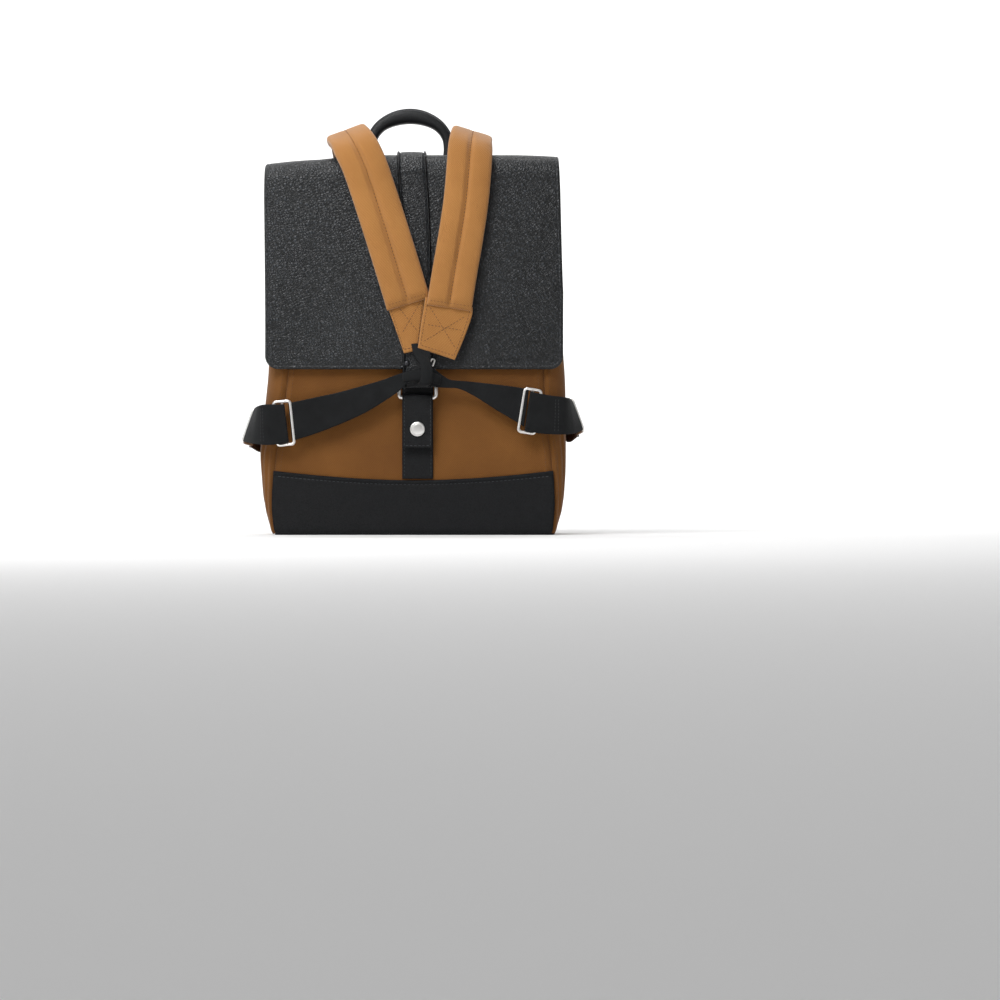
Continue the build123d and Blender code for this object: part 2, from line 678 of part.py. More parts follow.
# Two hooks: a carriage that grips the rail's head, and two cheeks that hang over the rack tube
tube_y = back_y + tube_behind
carriage_y = head_end_y + gap
lip_y = head_y - gap
half_head = rail_height / 2 + gap
lip = 3.7
carriage_low = rail_z - half_head - lip
cheek_outer = tube_radius + 6.0
latch_pivot = (tube_y + tube_radius + 5.5, tube_height + 6.0)
cheek_x = latch_width / 2 + 0.5
mouth_z = tube_height - 12.0
for name, side in (("left", -1), ("right", 1)):
    hook_x = side * hook_spacing / 2
    reach = (hook_x - carriage_width / 2, hook_x + carriage_width / 2)
    with BuildPart() as hook:
        top_z = rail_z + half_head + lip
        box_between(reach, (carriage_y, carriage_y + 6), (carriage_low, top_z))
        for z in (-1, 1):
            outer = rail_z + z * (half_head + lip)
            outside = sorted((outer, rail_z + z * half_head))
            box_between(reach, (lip_y - 2, carriage_y), outside)
            inner_lip = sorted((rail_z + z * half_head, rail_z + z * (rail_web_height / 2 + gap)))
            box_between(reach, (lip_y - 2, lip_y), inner_lip)
        for x in (hook_x - cheek_x - cheek, hook_x + cheek_x):
            with BuildSketch(Plane.YZ.offset(x)):
                with Locations((tube_y, tube_height)):
                    Circle(cheek_outer)
                with Locations((tube_y - tube_radius - 3, (mouth_z + carriage_low) / 2 + 2)):
                    Rectangle(6, carriage_low - mouth_z + 4)
                with Locations((latch_pivot[0], (mouth_z + tube_height + cheek_outer) / 2)):
                    Rectangle(11, tube_height + cheek_outer - mouth_z)
                with Locations((tube_y, mouth_z - cheek_outer / 2)):
                    Rectangle(4 * cheek_outer, cheek_outer, mode=Mode.SUBTRACT)
                with Locations((tube_y, tube_height - cheek_outer)):
                    Rectangle(2 * tube_radius, 2 * cheek_outer, mode=Mode.SUBTRACT)
                with Locations((tube_y, tube_height)):
                    Circle(tube_radius, mode=Mode.SUBTRACT)
                with Locations(latch_pivot):
                    Circle(pin_radius, mode=Mode.SUBTRACT)
            extrude(amount=cheek)
    keep(hook, "hook_" + name)

    pin_half = cheek_x + cheek
    with BuildPart() as latch_pin:
        with BuildSketch(Plane.YZ.offset(hook_x - pin_half)):
            with Locations(latch_pivot):
                Circle(pin_radius)
        extrude(amount=2 * pin_half)
    keep(latch_pin, "latch_pin_" + name)

    # Latch: an arm that closes under the tube, with a finger tab behind.
    with BuildPart() as latch:
        with BuildSketch(Plane.YZ.offset(hook_x - latch_width / 2)):
            low = mouth_z - 7
            with Locations(latch_pivot):
                Circle(5)
            with Locations((latch_pivot[0], (low + latch_pivot[1]) / 2)):
                Rectangle(6, latch_pivot[1] - low)
            toe_y = tube_y - tube_radius + 2
            with Locations(((toe_y + latch_pivot[0]) / 2, low + 3)):
                Rectangle(latch_pivot[0] - toe_y, 6)
            with Locations((latch_pivot[0] + 8, low + 2)):
                Rectangle(16, 4)
            with Locations(latch_pivot):
                Circle(pin_radius + pin_clearance, mode=Mode.SUBTRACT)
        extrude(amount=latch_width)
    keep(latch, "latch_" + name)

# Lower track, with a hook that swivels on a screw to catch the rack's strut
track_y = back_y + touch + 4
disc_y = track_y + gap
disc_end_y = disc_y + 5
screw_half = 3.0
with BuildPart() as lower_track:
    box_between((-55, 55), (back_y + touch, track_y), (lower_height - 16, lower_height + 16))
    with BuildSketch(Plane.XZ.offset(-track_y)):
        with Locations((0, lower_height)):
            Circle(screw_half)
    extrude(amount=3, mode=Mode.SUBTRACT)
keep(lower_track, "lower_track")

with BuildPart() as lower_screw:
    with BuildSketch(Plane.XZ.offset(-track_y + 3)):
        with Locations((0, lower_height)):
            Circle(screw_half)
    extrude(amount=-(disc_end_y + gap - track_y + 3))
    with BuildSketch(Plane.XZ.offset(-disc_end_y - gap)):
        with Locations((0, lower_height)):
            Circle(4)
    extrude(amount=-2.2)
keep(lower_screw, "lower_screw")

lower_gap = 14.0
with BuildPart() as lower_hook:
    with BuildSketch(Plane.XZ.offset(-disc_y)):
        with Locations((0, lower_height)):
            Circle(lower_radius)
            Circle(screw_half + pin_clearance, mode=Mode.SUBTRACT)
    extrude(amount=-(disc_end_y - disc_y))
    lip_face = disc_end_y + lower_gap
    box_between((-6, 6), (disc_y + 1, lip_face + 4), (lower_height + 5, lower_height + 12))
    box_between((-6, 6), (lip_face, lip_face + 4), (lower_height - 22, lower_height + 12))
keep(lower_hook, "lower_hook")
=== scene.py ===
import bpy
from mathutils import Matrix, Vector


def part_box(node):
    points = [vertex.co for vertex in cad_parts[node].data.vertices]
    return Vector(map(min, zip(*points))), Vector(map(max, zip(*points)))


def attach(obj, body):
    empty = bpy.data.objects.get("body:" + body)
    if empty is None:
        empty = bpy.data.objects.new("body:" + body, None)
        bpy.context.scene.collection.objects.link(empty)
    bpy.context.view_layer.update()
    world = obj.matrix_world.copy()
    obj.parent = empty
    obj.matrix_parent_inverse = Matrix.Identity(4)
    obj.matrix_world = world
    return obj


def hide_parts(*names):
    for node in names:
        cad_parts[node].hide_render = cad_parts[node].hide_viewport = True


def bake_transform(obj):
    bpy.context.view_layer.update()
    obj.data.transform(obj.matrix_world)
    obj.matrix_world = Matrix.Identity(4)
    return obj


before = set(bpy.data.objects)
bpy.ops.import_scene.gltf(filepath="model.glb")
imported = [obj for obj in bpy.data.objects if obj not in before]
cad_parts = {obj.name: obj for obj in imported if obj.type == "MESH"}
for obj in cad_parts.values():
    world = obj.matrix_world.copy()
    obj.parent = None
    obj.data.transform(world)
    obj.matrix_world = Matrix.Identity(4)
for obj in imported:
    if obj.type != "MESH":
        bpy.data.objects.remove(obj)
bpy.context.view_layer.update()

import math
import bpy
import bmesh
import numpy as np
from mathutils import Vector

mm = 0.001                     # pieces are worked out in millimetres and written in metres


def nodeBox(node):
    # a CAD node's low and high corners, in millimetres
    low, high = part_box(node)
    return np.array(low) / mm, np.array(high) / mm


def unit(v):
    # vectors scaled to length one
    return v / np.maximum(np.linalg.norm(v, axis=-1, keepdims=True), 1e-9)


def runLengths(points):
    # distance along rows of points, in metres
    steps = np.linalg.norm(np.diff(points, axis=0), axis=-1)
    return np.concatenate([[0.0], np.cumsum(steps)]) * mm


def smoothPath(points, count):
    # a centripetal spline through given points, sampled evenly along its length
    p = np.array(points, float)
    d = np.concatenate([[0.0], np.cumsum(np.linalg.norm(np.diff(p, axis=0), axis=1) ** 0.5)])
    m = np.gradient(p, d, axis=0)
    t = np.linspace(0, d[-1], count * 6)
    k = np.clip(np.searchsorted(d, t, side="right") - 1, 0, len(d) - 2)
    h = (d[k + 1] - d[k])[:, None]
    s = ((t - d[k]) / h[:, 0])[:, None]
    a = (2 * s**3 - 3 * s**2 + 1) * p[k] + (s**3 - 2 * s**2 + s) * h * m[k]
    b = (-2 * s**3 + 3 * s**2) * p[k + 1] + (s**3 - s**2) * h * m[k + 1]
    fine = a + b
    length = runLengths(fine)
    even = np.linspace(0, length[-1], count)
    return np.stack([np.interp(even, length, fine[:, i]) for i in range(p.shape[1])], axis=1)


def gridPart(grid, wrapV=False, capU=False, material=0, uv=None):
    # a grid of points as quads; wrapV closes each row, capU closes the first and last rows
    nu, nv = grid.shape[:2]
    index = np.arange(nu * nv).reshape(nu, nv)
    cols = np.arange(nv if wrapV else nv - 1)
    nextCol = (cols + 1) % nv
    a, b = index[:-1][:, cols], index[1:][:, cols]
    c, d = index[1:][:, nextCol], index[:-1][:, nextCol]
    faces = np.stack([a, b, c, d], axis=-1).reshape(-1, 4)
    if uv is None:
        across = grid[nu // 2]
        if wrapV:
            across = np.concatenate([across, across[:1]])
        u, v = runLengths(grid[:, nv // 2]), runLengths(across)
        uCorner = np.stack([u[:-1], u[1:], u[1:], u[:-1]], axis=1)[:, None, :]
        vCorner = np.stack([v[cols], v[cols], v[cols + 1], v[cols + 1]], axis=1)[None]
        shape = (nu - 1, len(cols), 4)
        uvs = np.stack([np.broadcast_to(uCorner, shape), np.broadcast_to(vCorner, shape)], axis=-1)
        uvs = uvs.reshape(-1, 4, 2)
    else:
        uvs = uv.reshape(-1, 2)[faces]
    faceList, uvList = faces.tolist(), [uvs.reshape(-1, 2)]
    if capU:
        for row, flip in ((0, False), (nu - 1, True)):
            loop = index[row] if flip else index[row][::-1]
            faceList.append(loop.tolist())
            uvList.append(np.zeros((nv, 2)))
    return {"v": grid.reshape(-1, 3), "f": faceList, "uv": np.concatenate(uvList), "m": material}


def normalsOf(grid):
    # unit normals of a grid, from its two directions
    return unit(np.cross(np.gradient(grid, axis=0), np.gradient(grid, axis=1)))


def sheetPart(mid, thick, material=0, normals=None, uv=None):
    # both faces of a thin sheet, half its thickness each side of a middle grid, joined at the rim
    n = normalsOf(mid) if normals is None else normals
    half = np.asarray(thick)[..., None] / 2
    top, low = mid + n * half, mid - n * half
    nu, nv = mid.shape[:2]
    upper, lower = gridPart(top, uv=uv), gridPart(low, uv=uv)
    index = np.arange(nu * nv).reshape(nu, nv)
    rim = np.concatenate([index[0], index[1:, -1], index[-1, -2::-1], index[-2:0:-1, 0]])
    after = np.roll(rim, -1)
    off = nu * nv
    sides = np.stack([rim, after, after + off, rim + off], axis=1)
    faces = upper["f"] + [[i + off for i in f[::-1]] for f in lower["f"]] + sides.tolist()
    flipped = lower["uv"].reshape(-1, 4, 2)[:, ::-1].reshape(-1, 2)
    uvs = np.concatenate([upper["uv"], flipped, np.zeros((4 * len(rim), 2))])
    return {"v": np.concatenate([upper["v"], lower["v"]]), "f": faces, "uv": uvs, "m": material}


def sweepPart(path, side, profile, capU=True, material=0, closed=False):
    # a closed profile (across, outward) carried along a path; side says which way across points
    t = np.gradient(path, axis=0)
    if closed:
        t = (np.roll(path, -1, 0) - np.roll(path, 1, 0)) / 2
    t = unit(t)
    s = unit(side - t * np.sum(side * t, axis=1, keepdims=True))
    n = np.cross(s, t)
    prof = np.broadcast_to(profile, (len(path),) + np.shape(profile)[-2:])
    grid = path[:, None] + prof[..., :1] * s[:, None] + prof[..., 1:] * n[:, None]
    if closed:
        grid = np.concatenate([grid, grid[:1]])
        return gridPart(grid, wrapV=True, material=material)
    return gridPart(grid, wrapV=True, capU=capU, material=material)


def ringProfile(width, thick, count=24, square=3.0):
    # a superellipse: nearly rectangular with soft corners
    a = np.linspace(0, 2 * np.pi, count, endpoint=False)
    c, s = np.cos(a), np.sin(a)
    e = 2 / square
    x = np.sign(c) * np.abs(c) ** e * width / 2
    y = np.sign(s) * np.abs(s) ** e * thick / 2
    return np.stack([x, y], axis=1)


def stitchPart(line, up, length=3.0, pitch=4.2, radius=0.42, material=0, sink=0.1):
    # a row of short thread capsules along a line that lies on a surface
    line = np.asarray(line, float)
    run = runLengths(line) / mm
    count = max(int(run[-1] / pitch), 1)
    at = (np.arange(count) + 0.5) * run[-1] / count
    centre = np.stack([np.interp(at, run, line[:, i]) for i in range(3)], axis=1)
    ahead = np.stack([np.interp(at + 0.6, run, line[:, i]) for i in range(3)], axis=1)
    back = np.stack([np.interp(at - 0.6, run, line[:, i]) for i in range(3)], axis=1)
    t = unit(ahead - back)
    up = np.broadcast_to(np.asarray(up, float), line.shape)
    u = np.stack([np.interp(at, run, up[:, i]) for i in range(3)], axis=1)
    u = unit(u - t * np.sum(u * t, axis=1, keepdims=True))
    s = np.cross(t, u)
    rings = np.array([-0.5, -0.38, 0.0, 0.38, 0.5])
    size = np.array([0.35, 0.85, 1.0, 0.85, 0.35])
    a = np.linspace(0, 2 * np.pi, 6, endpoint=False)
    lengthwise = np.repeat(rings, 6) * length
    across = np.outer(size, np.cos(a)).ravel() * radius
    lift = np.outer(size, np.sin(a)).ravel() * radius - sink
    v = centre[:, None] + lengthwise[None, :, None] * t[:, None]
    v = v + across[None, :, None] * s[:, None] + lift[None, :, None] * u[:, None]
    cell = np.arange(30).reshape(5, 6)
    quads = np.stack([cell[:-1], cell[1:], np.roll(cell[1:], -1, 1), np.roll(cell[:-1], -1, 1)], -1)
    quads = quads.reshape(-1, 4)
    allQuads = (quads[None] + (np.arange(count) * 30)[:, None, None]).reshape(-1, 4).tolist()
    caps = []
    for i in range(count):
        caps.append((cell[0][::-1] + 30 * i).tolist())
        caps.append((cell[-1] + 30 * i).tolist())
    faces = allQuads + caps
    return {"v": v.reshape(-1, 3), "f": faces, "uv": np.zeros((4 * len(allQuads) + 6 * len(caps), 2)),
            "m": material}


def makePiece(name, parts, materials, smooth=True):
    # joins the parts' arrays into one object at the origin, in metres
    verts, faces, uvs, slots, base = [], [], [], [], 0
    for part in parts:
        verts.append(part["v"])
        faces += [[i + base for i in f] for f in part["f"]]
        uvs.append(part["uv"])
        slots += [part["m"]] * len(part["f"])
        base += len(part["v"])
    mesh = bpy.data.meshes.new(name)
    mesh.from_pydata((np.concatenate(verts) * mm).tolist(), [], faces)
    mesh.uv_layers.new(name="UVMap")
    mesh.uv_layers[0].data.foreach_set("uv", np.concatenate(uvs).ravel())
    mesh.polygons.foreach_set("material_index", np.array(slots, dtype=np.int32))
    mesh.polygons.foreach_set("use_smooth", np.full(len(faces), smooth))
    for material in materials:
        mesh.materials.append(material)
    shape = bmesh.new()
    shape.from_mesh(mesh)
    bmesh.ops.remove_doubles(shape, verts=shape.verts, dist=2e-6)
    bmesh.ops.recalc_face_normals(shape, faces=shape.faces)
    shape.to_mesh(mesh)
    shape.free()
    mesh.update()
    piece = bpy.data.objects.new(name, mesh)
    bpy.context.scene.collection.objects.link(piece)
    return piece


def softNoise(x, z, seed, scale):
    # a sum of a few slow sine waves with seeded directions, between about -1 and 1
    r = np.random.default_rng(seed)
    total = 0
    for k in range(6):
        angle, phase = r.uniform(0, np.pi * 2), r.uniform(0, np.pi * 2)
        f = (0.6 + 0.5 * k) / scale
        total = total + np.sin((x * np.cos(angle) + z * np.sin(angle)) * f + phase) / (1 + 0.6 * k)
    return total / 2.6


def newMaterial(name, colour, roughness, metallic=0.0):
    # a plain shader, with the nodes and links that the pattern makers add to
    material = bpy.data.materials.new(name)
    material.use_nodes = True
    shader = material.node_tree.nodes["Principled BSDF"]
    shader.inputs["Base Color"].default_value = (*colour, 1)
    shader.inputs["Roughness"].default_value = roughness
    shader.inputs["Metallic"].default_value = metallic
    return material, material.node_tree.nodes, material.node_tree.links, shader


def noiseNode(nodes, links, source, scale, detail=3.0, rough=0.55):
    # cloudy variation; scale counts features to a metre
    node = nodes.new("ShaderNodeTexNoise")
    node.inputs["Scale"].default_value = scale
    node.inputs["Detail"].default_value = detail
    node.inputs["Roughness"].default_value = rough
    links.new(source, node.inputs["Vector"])
    return node.outputs["Fac"]


def mathNode(nodes, links, kind, a, b=None, c=None):
    # one sum on up to three numbers or sockets
    node = nodes.new("ShaderNodeMath")
    node.operation = kind
    for i, value in enumerate((a, b, c)):
        if value is None:
            continue
        if isinstance(value, (int, float)):
            node.inputs[i].default_value = value
        else:
            links.new(value, node.inputs[i])
    return node.outputs[0]


def rampNode(nodes, links, source, stops):
    # a value turned into colour through stops at stated places
    node = nodes.new("ShaderNodeValToRGB")
    ramp = node.color_ramp
    while len(ramp.elements) < len(stops):
        ramp.elements.new(0.5)
    for element, (at, colour) in zip(ramp.elements, stops):
        element.position = at
        element.color = (*colour, 1)
    links.new(source, node.inputs["Fac"])
    return node.outputs["Color"]


def bumpNode(nodes, links, height, strength, distance, onto=None):
    # small relief from a height, its distance in metres
    node = nodes.new("ShaderNodeBump")
    node.inputs["Strength"].default_value = strength
    node.inputs["Distance"].default_value = distance
    links.new(height, node.inputs["Height"])
    if onto is not None:
        links.new(onto, node.inputs["Normal"])
    return node.outputs["Normal"]


def coordinate(nodes, kind):
    # where a pattern is read from: the object itself, or the piece's own unwrapped cloth
    return nodes.new("ShaderNodeTexCoord").outputs[kind]


def clothMaterial(name, dark, mid, light, ribs, coords, rough=0.85, sheen=0.25, angle=0.78, depth=0.00035):
    # twill: diagonal ribs from a sine of a turned coordinate, broken by slow and fine noise
    material, nodes, links, shader = newMaterial(name, mid, rough)
    source = coordinate(nodes, coords)
    turn = nodes.new("ShaderNodeMapping")
    turn.inputs["Rotation"].default_value = (0, angle if coords == "Object" else 0, angle)
    links.new(source, turn.inputs["Vector"])
    split = nodes.new("ShaderNodeSeparateXYZ")
    links.new(turn.outputs[0], split.inputs[0])
    wobble = noiseNode(nodes, links, source, 180.0, 2.0)
    phase = mathNode(nodes, links, "MULTIPLY_ADD", split.outputs[0], ribs, 0.0)
    phase = mathNode(nodes, links, "ADD", phase, mathNode(nodes, links, "MULTIPLY", wobble, 3.5))
    rib = mathNode(nodes, links, "MULTIPLY_ADD", mathNode(nodes, links, "SINE", phase), 0.5, 0.5)
    cross = mathNode(nodes, links, "MULTIPLY_ADD", split.outputs[1], ribs * 1.7, 0.0)
    cross = mathNode(nodes, links, "MULTIPLY_ADD", mathNode(nodes, links, "SINE", cross), 0.5, 0.5)
    fibre = noiseNode(nodes, links, source, 1500.0, 2.0)
    slow = noiseNode(nodes, links, source, 14.0, 4.0)
    mix = mathNode(nodes, links, "MULTIPLY", rib, 0.24)
    mix = mathNode(nodes, links, "ADD", mix, mathNode(nodes, links, "MULTIPLY", cross, 0.08))
    mix = mathNode(nodes, links, "ADD", mix, mathNode(nodes, links, "MULTIPLY", fibre, 0.30))
    mix = mathNode(nodes, links, "ADD", mix, mathNode(nodes, links, "MULTIPLY", slow, 0.42))
    links.new(rampNode(nodes, links, mix, [(0.30, dark), (0.53, mid), (0.78, light)]),
              shader.inputs["Base Color"])
    height = mathNode(nodes, links, "ADD", rib, mathNode(nodes, links, "MULTIPLY", fibre, 0.8))
    links.new(bumpNode(nodes, links, height, 0.55, depth), shader.inputs["Normal"])
    shader.inputs["Sheen Weight"].default_value = sheen
    shader.inputs["Sheen Roughness"].default_value = 0.5
    shader.inputs["Specular IOR Level"].default_value = 0.25
    return material


def leatherMaterial(name, dark, mid, pebbleHighlight, cells, rough, grain, depth=0.36, shine=0.26):
    # pebbles: the distance to the edges of soft cells, over finer wrinkles; the creases are painted darker
    # as painted shade and the pebble tops lighter as painted highlight
    material, nodes, links, shader = newMaterial(name, mid, rough)
    source = coordinate(nodes, "Object")
    bend = noiseNode(nodes, links, source, cells * 0.5, 3.0)
    warp = nodes.new("ShaderNodeVectorMath")
    warp.operation = "MULTIPLY_ADD"
    warp.inputs[1].default_value = (1, 1, 1)
    links.new(source, warp.inputs[0])
    shift = nodes.new("ShaderNodeVectorMath")
    shift.operation = "SCALE"
    shift.inputs["Scale"].default_value = 0.6 / cells
    spread = nodes.new("ShaderNodeTexNoise")
    spread.inputs["Scale"].default_value = cells * 0.8
    links.new(source, spread.inputs["Vector"])
    links.new(spread.outputs["Color"], shift.inputs[0])
    links.new(shift.outputs[0], warp.inputs[2])
    cell = nodes.new("ShaderNodeTexVoronoi")
    cell.feature = "DISTANCE_TO_EDGE"
    cell.inputs["Scale"].default_value = cells
    links.new(warp.outputs[0], cell.inputs["Vector"])
    small = nodes.new("ShaderNodeTexVoronoi")
    small.feature = "F1"
    small.inputs["Scale"].default_value = cells * 2.3
    links.new(warp.outputs[0], small.inputs["Vector"])
    pebble = mathNode(nodes, links, "MINIMUM",
                      mathNode(nodes, links, "MULTIPLY", cell.outputs["Distance"], 2.5), 1.0)
    pebble = mathNode(nodes, links, "POWER", pebble, 0.75)
    height = mathNode(nodes, links, "SUBTRACT", pebble,
                      mathNode(nodes, links, "MULTIPLY", small.outputs["Distance"], 0.12))
    height = mathNode(nodes, links, "ADD", height, mathNode(nodes, links, "MULTIPLY", bend, 0.3))
    slow = noiseNode(nodes, links, source, 9.0, 4.0)
    # the tone runs from the dark crease colour, painted shade, to the pale pebble-top colour, painted
    # highlight, with slow random patches mixed in
    tone = mathNode(nodes, links, "MULTIPLY_ADD", pebble, 0.7,
                    mathNode(nodes, links, "MULTIPLY", slow, 0.3))
    links.new(rampNode(nodes, links, tone, [(0.25, dark), (0.6, mid), (0.92, pebbleHighlight)]),
              shader.inputs["Base Color"])
    gloss = mathNode(nodes, links, "MULTIPLY_ADD", slow, 0.22, rough - 0.11)
    gloss = mathNode(nodes, links, "MULTIPLY_ADD", pebble, -0.08, gloss)
    links.new(gloss, shader.inputs["Roughness"])
    links.new(bumpNode(nodes, links, height, grain, depth / cells), shader.inputs["Normal"])
    shader.inputs["Specular IOR Level"].default_value = shine
    return material


def webbingMaterial(name, dark, light):
    # close plain weave: the product of two sines along and across, with a fuzzy surface
    material, nodes, links, shader = newMaterial(name, dark, 0.8)
    source = coordinate(nodes, "UV")
    split = nodes.new("ShaderNodeSeparateXYZ")
    links.new(source, split.inputs[0])
    along = mathNode(nodes, links, "SINE", mathNode(nodes, links, "MULTIPLY", split.outputs[0], 4200.0))
    across = mathNode(nodes, links, "SINE", mathNode(nodes, links, "MULTIPLY", split.outputs[1], 3600.0))
    weave = mathNode(nodes, links, "MULTIPLY_ADD", mathNode(nodes, links, "MULTIPLY", along, across),
                     0.5, 0.5)
    slow = noiseNode(nodes, links, coordinate(nodes, "Object"), 60.0, 4.0)
    tone = mathNode(nodes, links, "MULTIPLY_ADD", weave, 0.45,
                    mathNode(nodes, links, "MULTIPLY", slow, 0.55))
    links.new(rampNode(nodes, links, tone, [(0.25, dark), (0.8, light)]), shader.inputs["Base Color"])
    links.new(bumpNode(nodes, links, weave, 0.5, 0.0003), shader.inputs["Normal"])
    shader.inputs["Sheen Weight"].default_value = 0.06
    shader.inputs["Specular IOR Level"].default_value = 0.16
    return material


def metalMaterial(name, colour, rough, scratch=0.06):
    # plated metal with faint handling marks in its gloss
    material, nodes, links, shader = newMaterial(name, colour, rough, 1.0)
    source = coordinate(nodes, "Object")
    marks = noiseNode(nodes, links, source, 420.0, 3.0)
    cloud = noiseNode(nodes, links, source, 70.0, 3.0)
    both = mathNode(nodes, links, "MULTIPLY_ADD", marks, scratch,
                    mathNode(nodes, links, "MULTIPLY", cloud, scratch))
    links.new(mathNode(nodes, links, "ADD", both, rough - scratch * 0.9), shader.inputs["Roughness"])
    links.new(bumpNode(nodes, links, cloud, 0.05, 0.0002), shader.inputs["Normal"])
    return material


def plasticMaterial(name, colour, rough):
    # moulded plastic: a fine spark texture and slight tone changes
    material, nodes, links, shader = newMaterial(name, colour, rough)
    source = coordinate(nodes, "Object")
    grit = noiseNode(nodes, links, source, 1600.0, 2.0)
    cloud = noiseNode(nodes, links, source, 30.0, 3.0)
    light = tuple(min(1.0, 1.7 * c) for c in colour)
    links.new(rampNode(nodes, links, cloud, [(0.3, colour), (0.75, light)]), shader.inputs["Base Color"])
    links.new(bumpNode(nodes, links, grit, 0.35, 0.0002), shader.inputs["Normal"])
    return material


canvasTan = clothMaterial("canvasTan", (0.098, 0.034, 0.0055), (0.168, 0.064, 0.0105),
                          (0.235, 0.098, 0.020), 5000.0, "UV", 0.88, 0.12)
strapTan = clothMaterial("strapTan", (0.25, 0.102, 0.021), (0.375, 0.165, 0.040), (0.47, 0.220, 0.062),
                         4400.0, "UV", 0.85, 0.3)
# in each leather the first colour is painted shade in the creases and the third is a painted highlight on
# the pebble tops
flapLeather = leatherMaterial("flapLeather", (0.0006, 0.0008, 0.001), (0.0065, 0.0078, 0.0096),
                              (0.034, 0.040, 0.047), 360.0, 0.43, 0.55, 0.26, 0.42)
baseLeather = leatherMaterial("baseLeather", (0.0018, 0.002, 0.0025), (0.0042, 0.005, 0.0062),
                              (0.0085, 0.010, 0.0125), 800.0, 0.50, 0.7, 0.4, 0.2)
edgeLeather = leatherMaterial("edgeLeather", (0.003, 0.0033, 0.004), (0.008, 0.009, 0.011),
                              (0.020, 0.022, 0.026), 1100.0, 0.42, 0.25)
tabLeather = leatherMaterial("tabLeather", (0.018, 0.007, 0.003), (0.055, 0.020, 0.009),
                             (0.11, 0.045, 0.02), 800.0, 0.5, 0.4)
blackWebbing = webbingMaterial("blackWebbing", (0.003, 0.0033, 0.0036), (0.012, 0.0128, 0.0138))
liningCloth = clothMaterial("liningCloth", (0.012, 0.012, 0.013), (0.022, 0.022, 0.024),
                            (0.04, 0.04, 0.043), 3000.0, "Object")
nickel = metalMaterial("nickel", (0.92, 0.90, 0.87), 0.34)
plainSteel = metalMaterial("plainSteel", (0.56, 0.56, 0.57), 0.34)
darkMetal = metalMaterial("darkMetal", (0.06, 0.06, 0.065), 0.42)
hookPlastic = plasticMaterial("hookPlastic", (0.016, 0.016, 0.018), 0.5)
boardPlastic = plasticMaterial("boardPlastic", (0.05, 0.05, 0.05), 0.6)
threadTan = newMaterial("threadTan", (0.10, 0.040, 0.011), 0.7)[0]
threadStrap = newMaterial("threadStrap", (0.13, 0.052, 0.015), 0.7)[0]
threadBlack = newMaterial("threadBlack", (0.010, 0.011, 0.013), 0.55)[0]
threadGrey = newMaterial("threadGrey", (0.030, 0.033, 0.038), 0.55)[0]
print("materials made")

finishes = {
    "back_board": boardPlastic, "base_board": boardPlastic, "clasp_hook": nickel, "closure_ring": nickel,
    "snap_socket": nickel, "snap_stud": nickel, "handle_core": plainSteel, "hook_left": hookPlastic,
    "hook_right": hookPlastic, "latch_left": hookPlastic, "latch_right": hookPlastic,
    "latch_pin_left": plainSteel, "latch_pin_right": plainSteel, "lower_hook": hookPlastic,
    "lower_screw": plainSteel, "lower_track": hookPlastic, "rack_rail": darkMetal,
    "rail_screws": plainSteel,
}
for node, coat in finishes.items():
    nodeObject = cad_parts[node]
    nodeObject.data.materials.clear()
    nodeObject.data.materials.append(coat)


# the bag's canvas body
bagBody = {
    "heights": [0, 12, 31, 59, 85, 103, 143, 170, 210, 260, 330, 386],
    "outs": [-3.5, -0.5, 4.4, 7.8, 9.6, 9.2, 6.4, 4.6, 3.0, 1.6, 0.6, 0],
    "lean": [-0.8, -1.3, -1.4, -1.3, -1.2, -0.4, 1.2, 2.0, 1.6, 1.0, 0.4, 0],
    "seamIn": [4.5, 6.0, 9.5, 14.0, 18.0, 21.0, 22.5, 23.0, 23.0, 23.0, 23.0, 23.0],
    "thickness": 1.7, "seamDip": 2.0, "rows": 150, "depthCorner": 22.0,
}
mouthLow, mouthHigh = nodeBox("mouth_binding")
frontLow, frontHigh = nodeBox("front_panel")
bodyHalf = (mouthHigh[0] - mouthLow[0]) / 2 - 1.2
halfDepth = -frontLow[1]
bodyTop = frontHigh[2]


def bodyValue(key, z):
    # a value of the outline at a height, eased between the stated heights
    fine = smoothPath(np.stack([bagBody["heights"], bagBody[key]], axis=1), 300)
    return np.interp(z, fine[:, 0], fine[:, 1])


def mouthPull(s):
    # how far the right side draws in towards the mouth, by the distance down from the flap's seam
    return np.minimum(6.5 * np.clip((300 - s) / 190, 0, 1) ** 0.8, 5.2)


def bodyPoint(s, z):
    # s goes round the plan: -1 to 1 is the front, 1 to 3 the right side, 3 to 5 the back,
    # 5 to 7 the left side; the corners are quarter ellipses inside the side stretches
    half = bodyHalf + bodyValue("outs", z)
    rx = bodyValue("seamIn", z)
    ry = bagBody["depthCorner"] - 12 * np.clip(1 - z / 60, 0, 1)
    seam = half - rx
    front, back = np.abs(s) <= 1, (s >= 3) & (s <= 5)
    mirror = np.where(s > 5, -1.0, 1.0)
    q = np.where(s > 5, 8 - s, s)
    straight = 2 * (halfDepth - ry)
    arc = (rx + ry) / 2 * np.pi / 2
    run = np.clip((q - 1) / 2, 0, 1) * (2 * arc + straight)
    a1 = np.clip(run / arc, 0, 1) * np.pi / 2
    a2 = np.clip((run - arc - straight) / arc, 0, 1) * np.pi / 2
    middle = np.clip(run - arc, 0, straight)
    xs = seam + rx * np.sin(a1) - rx * (1 - np.cos(a2))
    ys = -halfDepth + ry * (1 - np.cos(a1)) + middle + ry * np.sin(a2)
    x = np.where(front, s * seam, np.where(back, (4 - s) * seam, mirror * xs))
    y = np.where(front, -halfDepth, np.where(back, halfDepth, ys))
    tuck = np.clip(1 - z / 7, 0, 1) ** 2
    y = y * (1 - 0.03 * tuck)
    x = x * (1 - 0.012 * tuck) + bodyValue("lean", z) * (x / half) ** 2
    x = x - np.clip(x / half, 0, 1) ** 2 * mouthPull(542 - z)
    return x, y


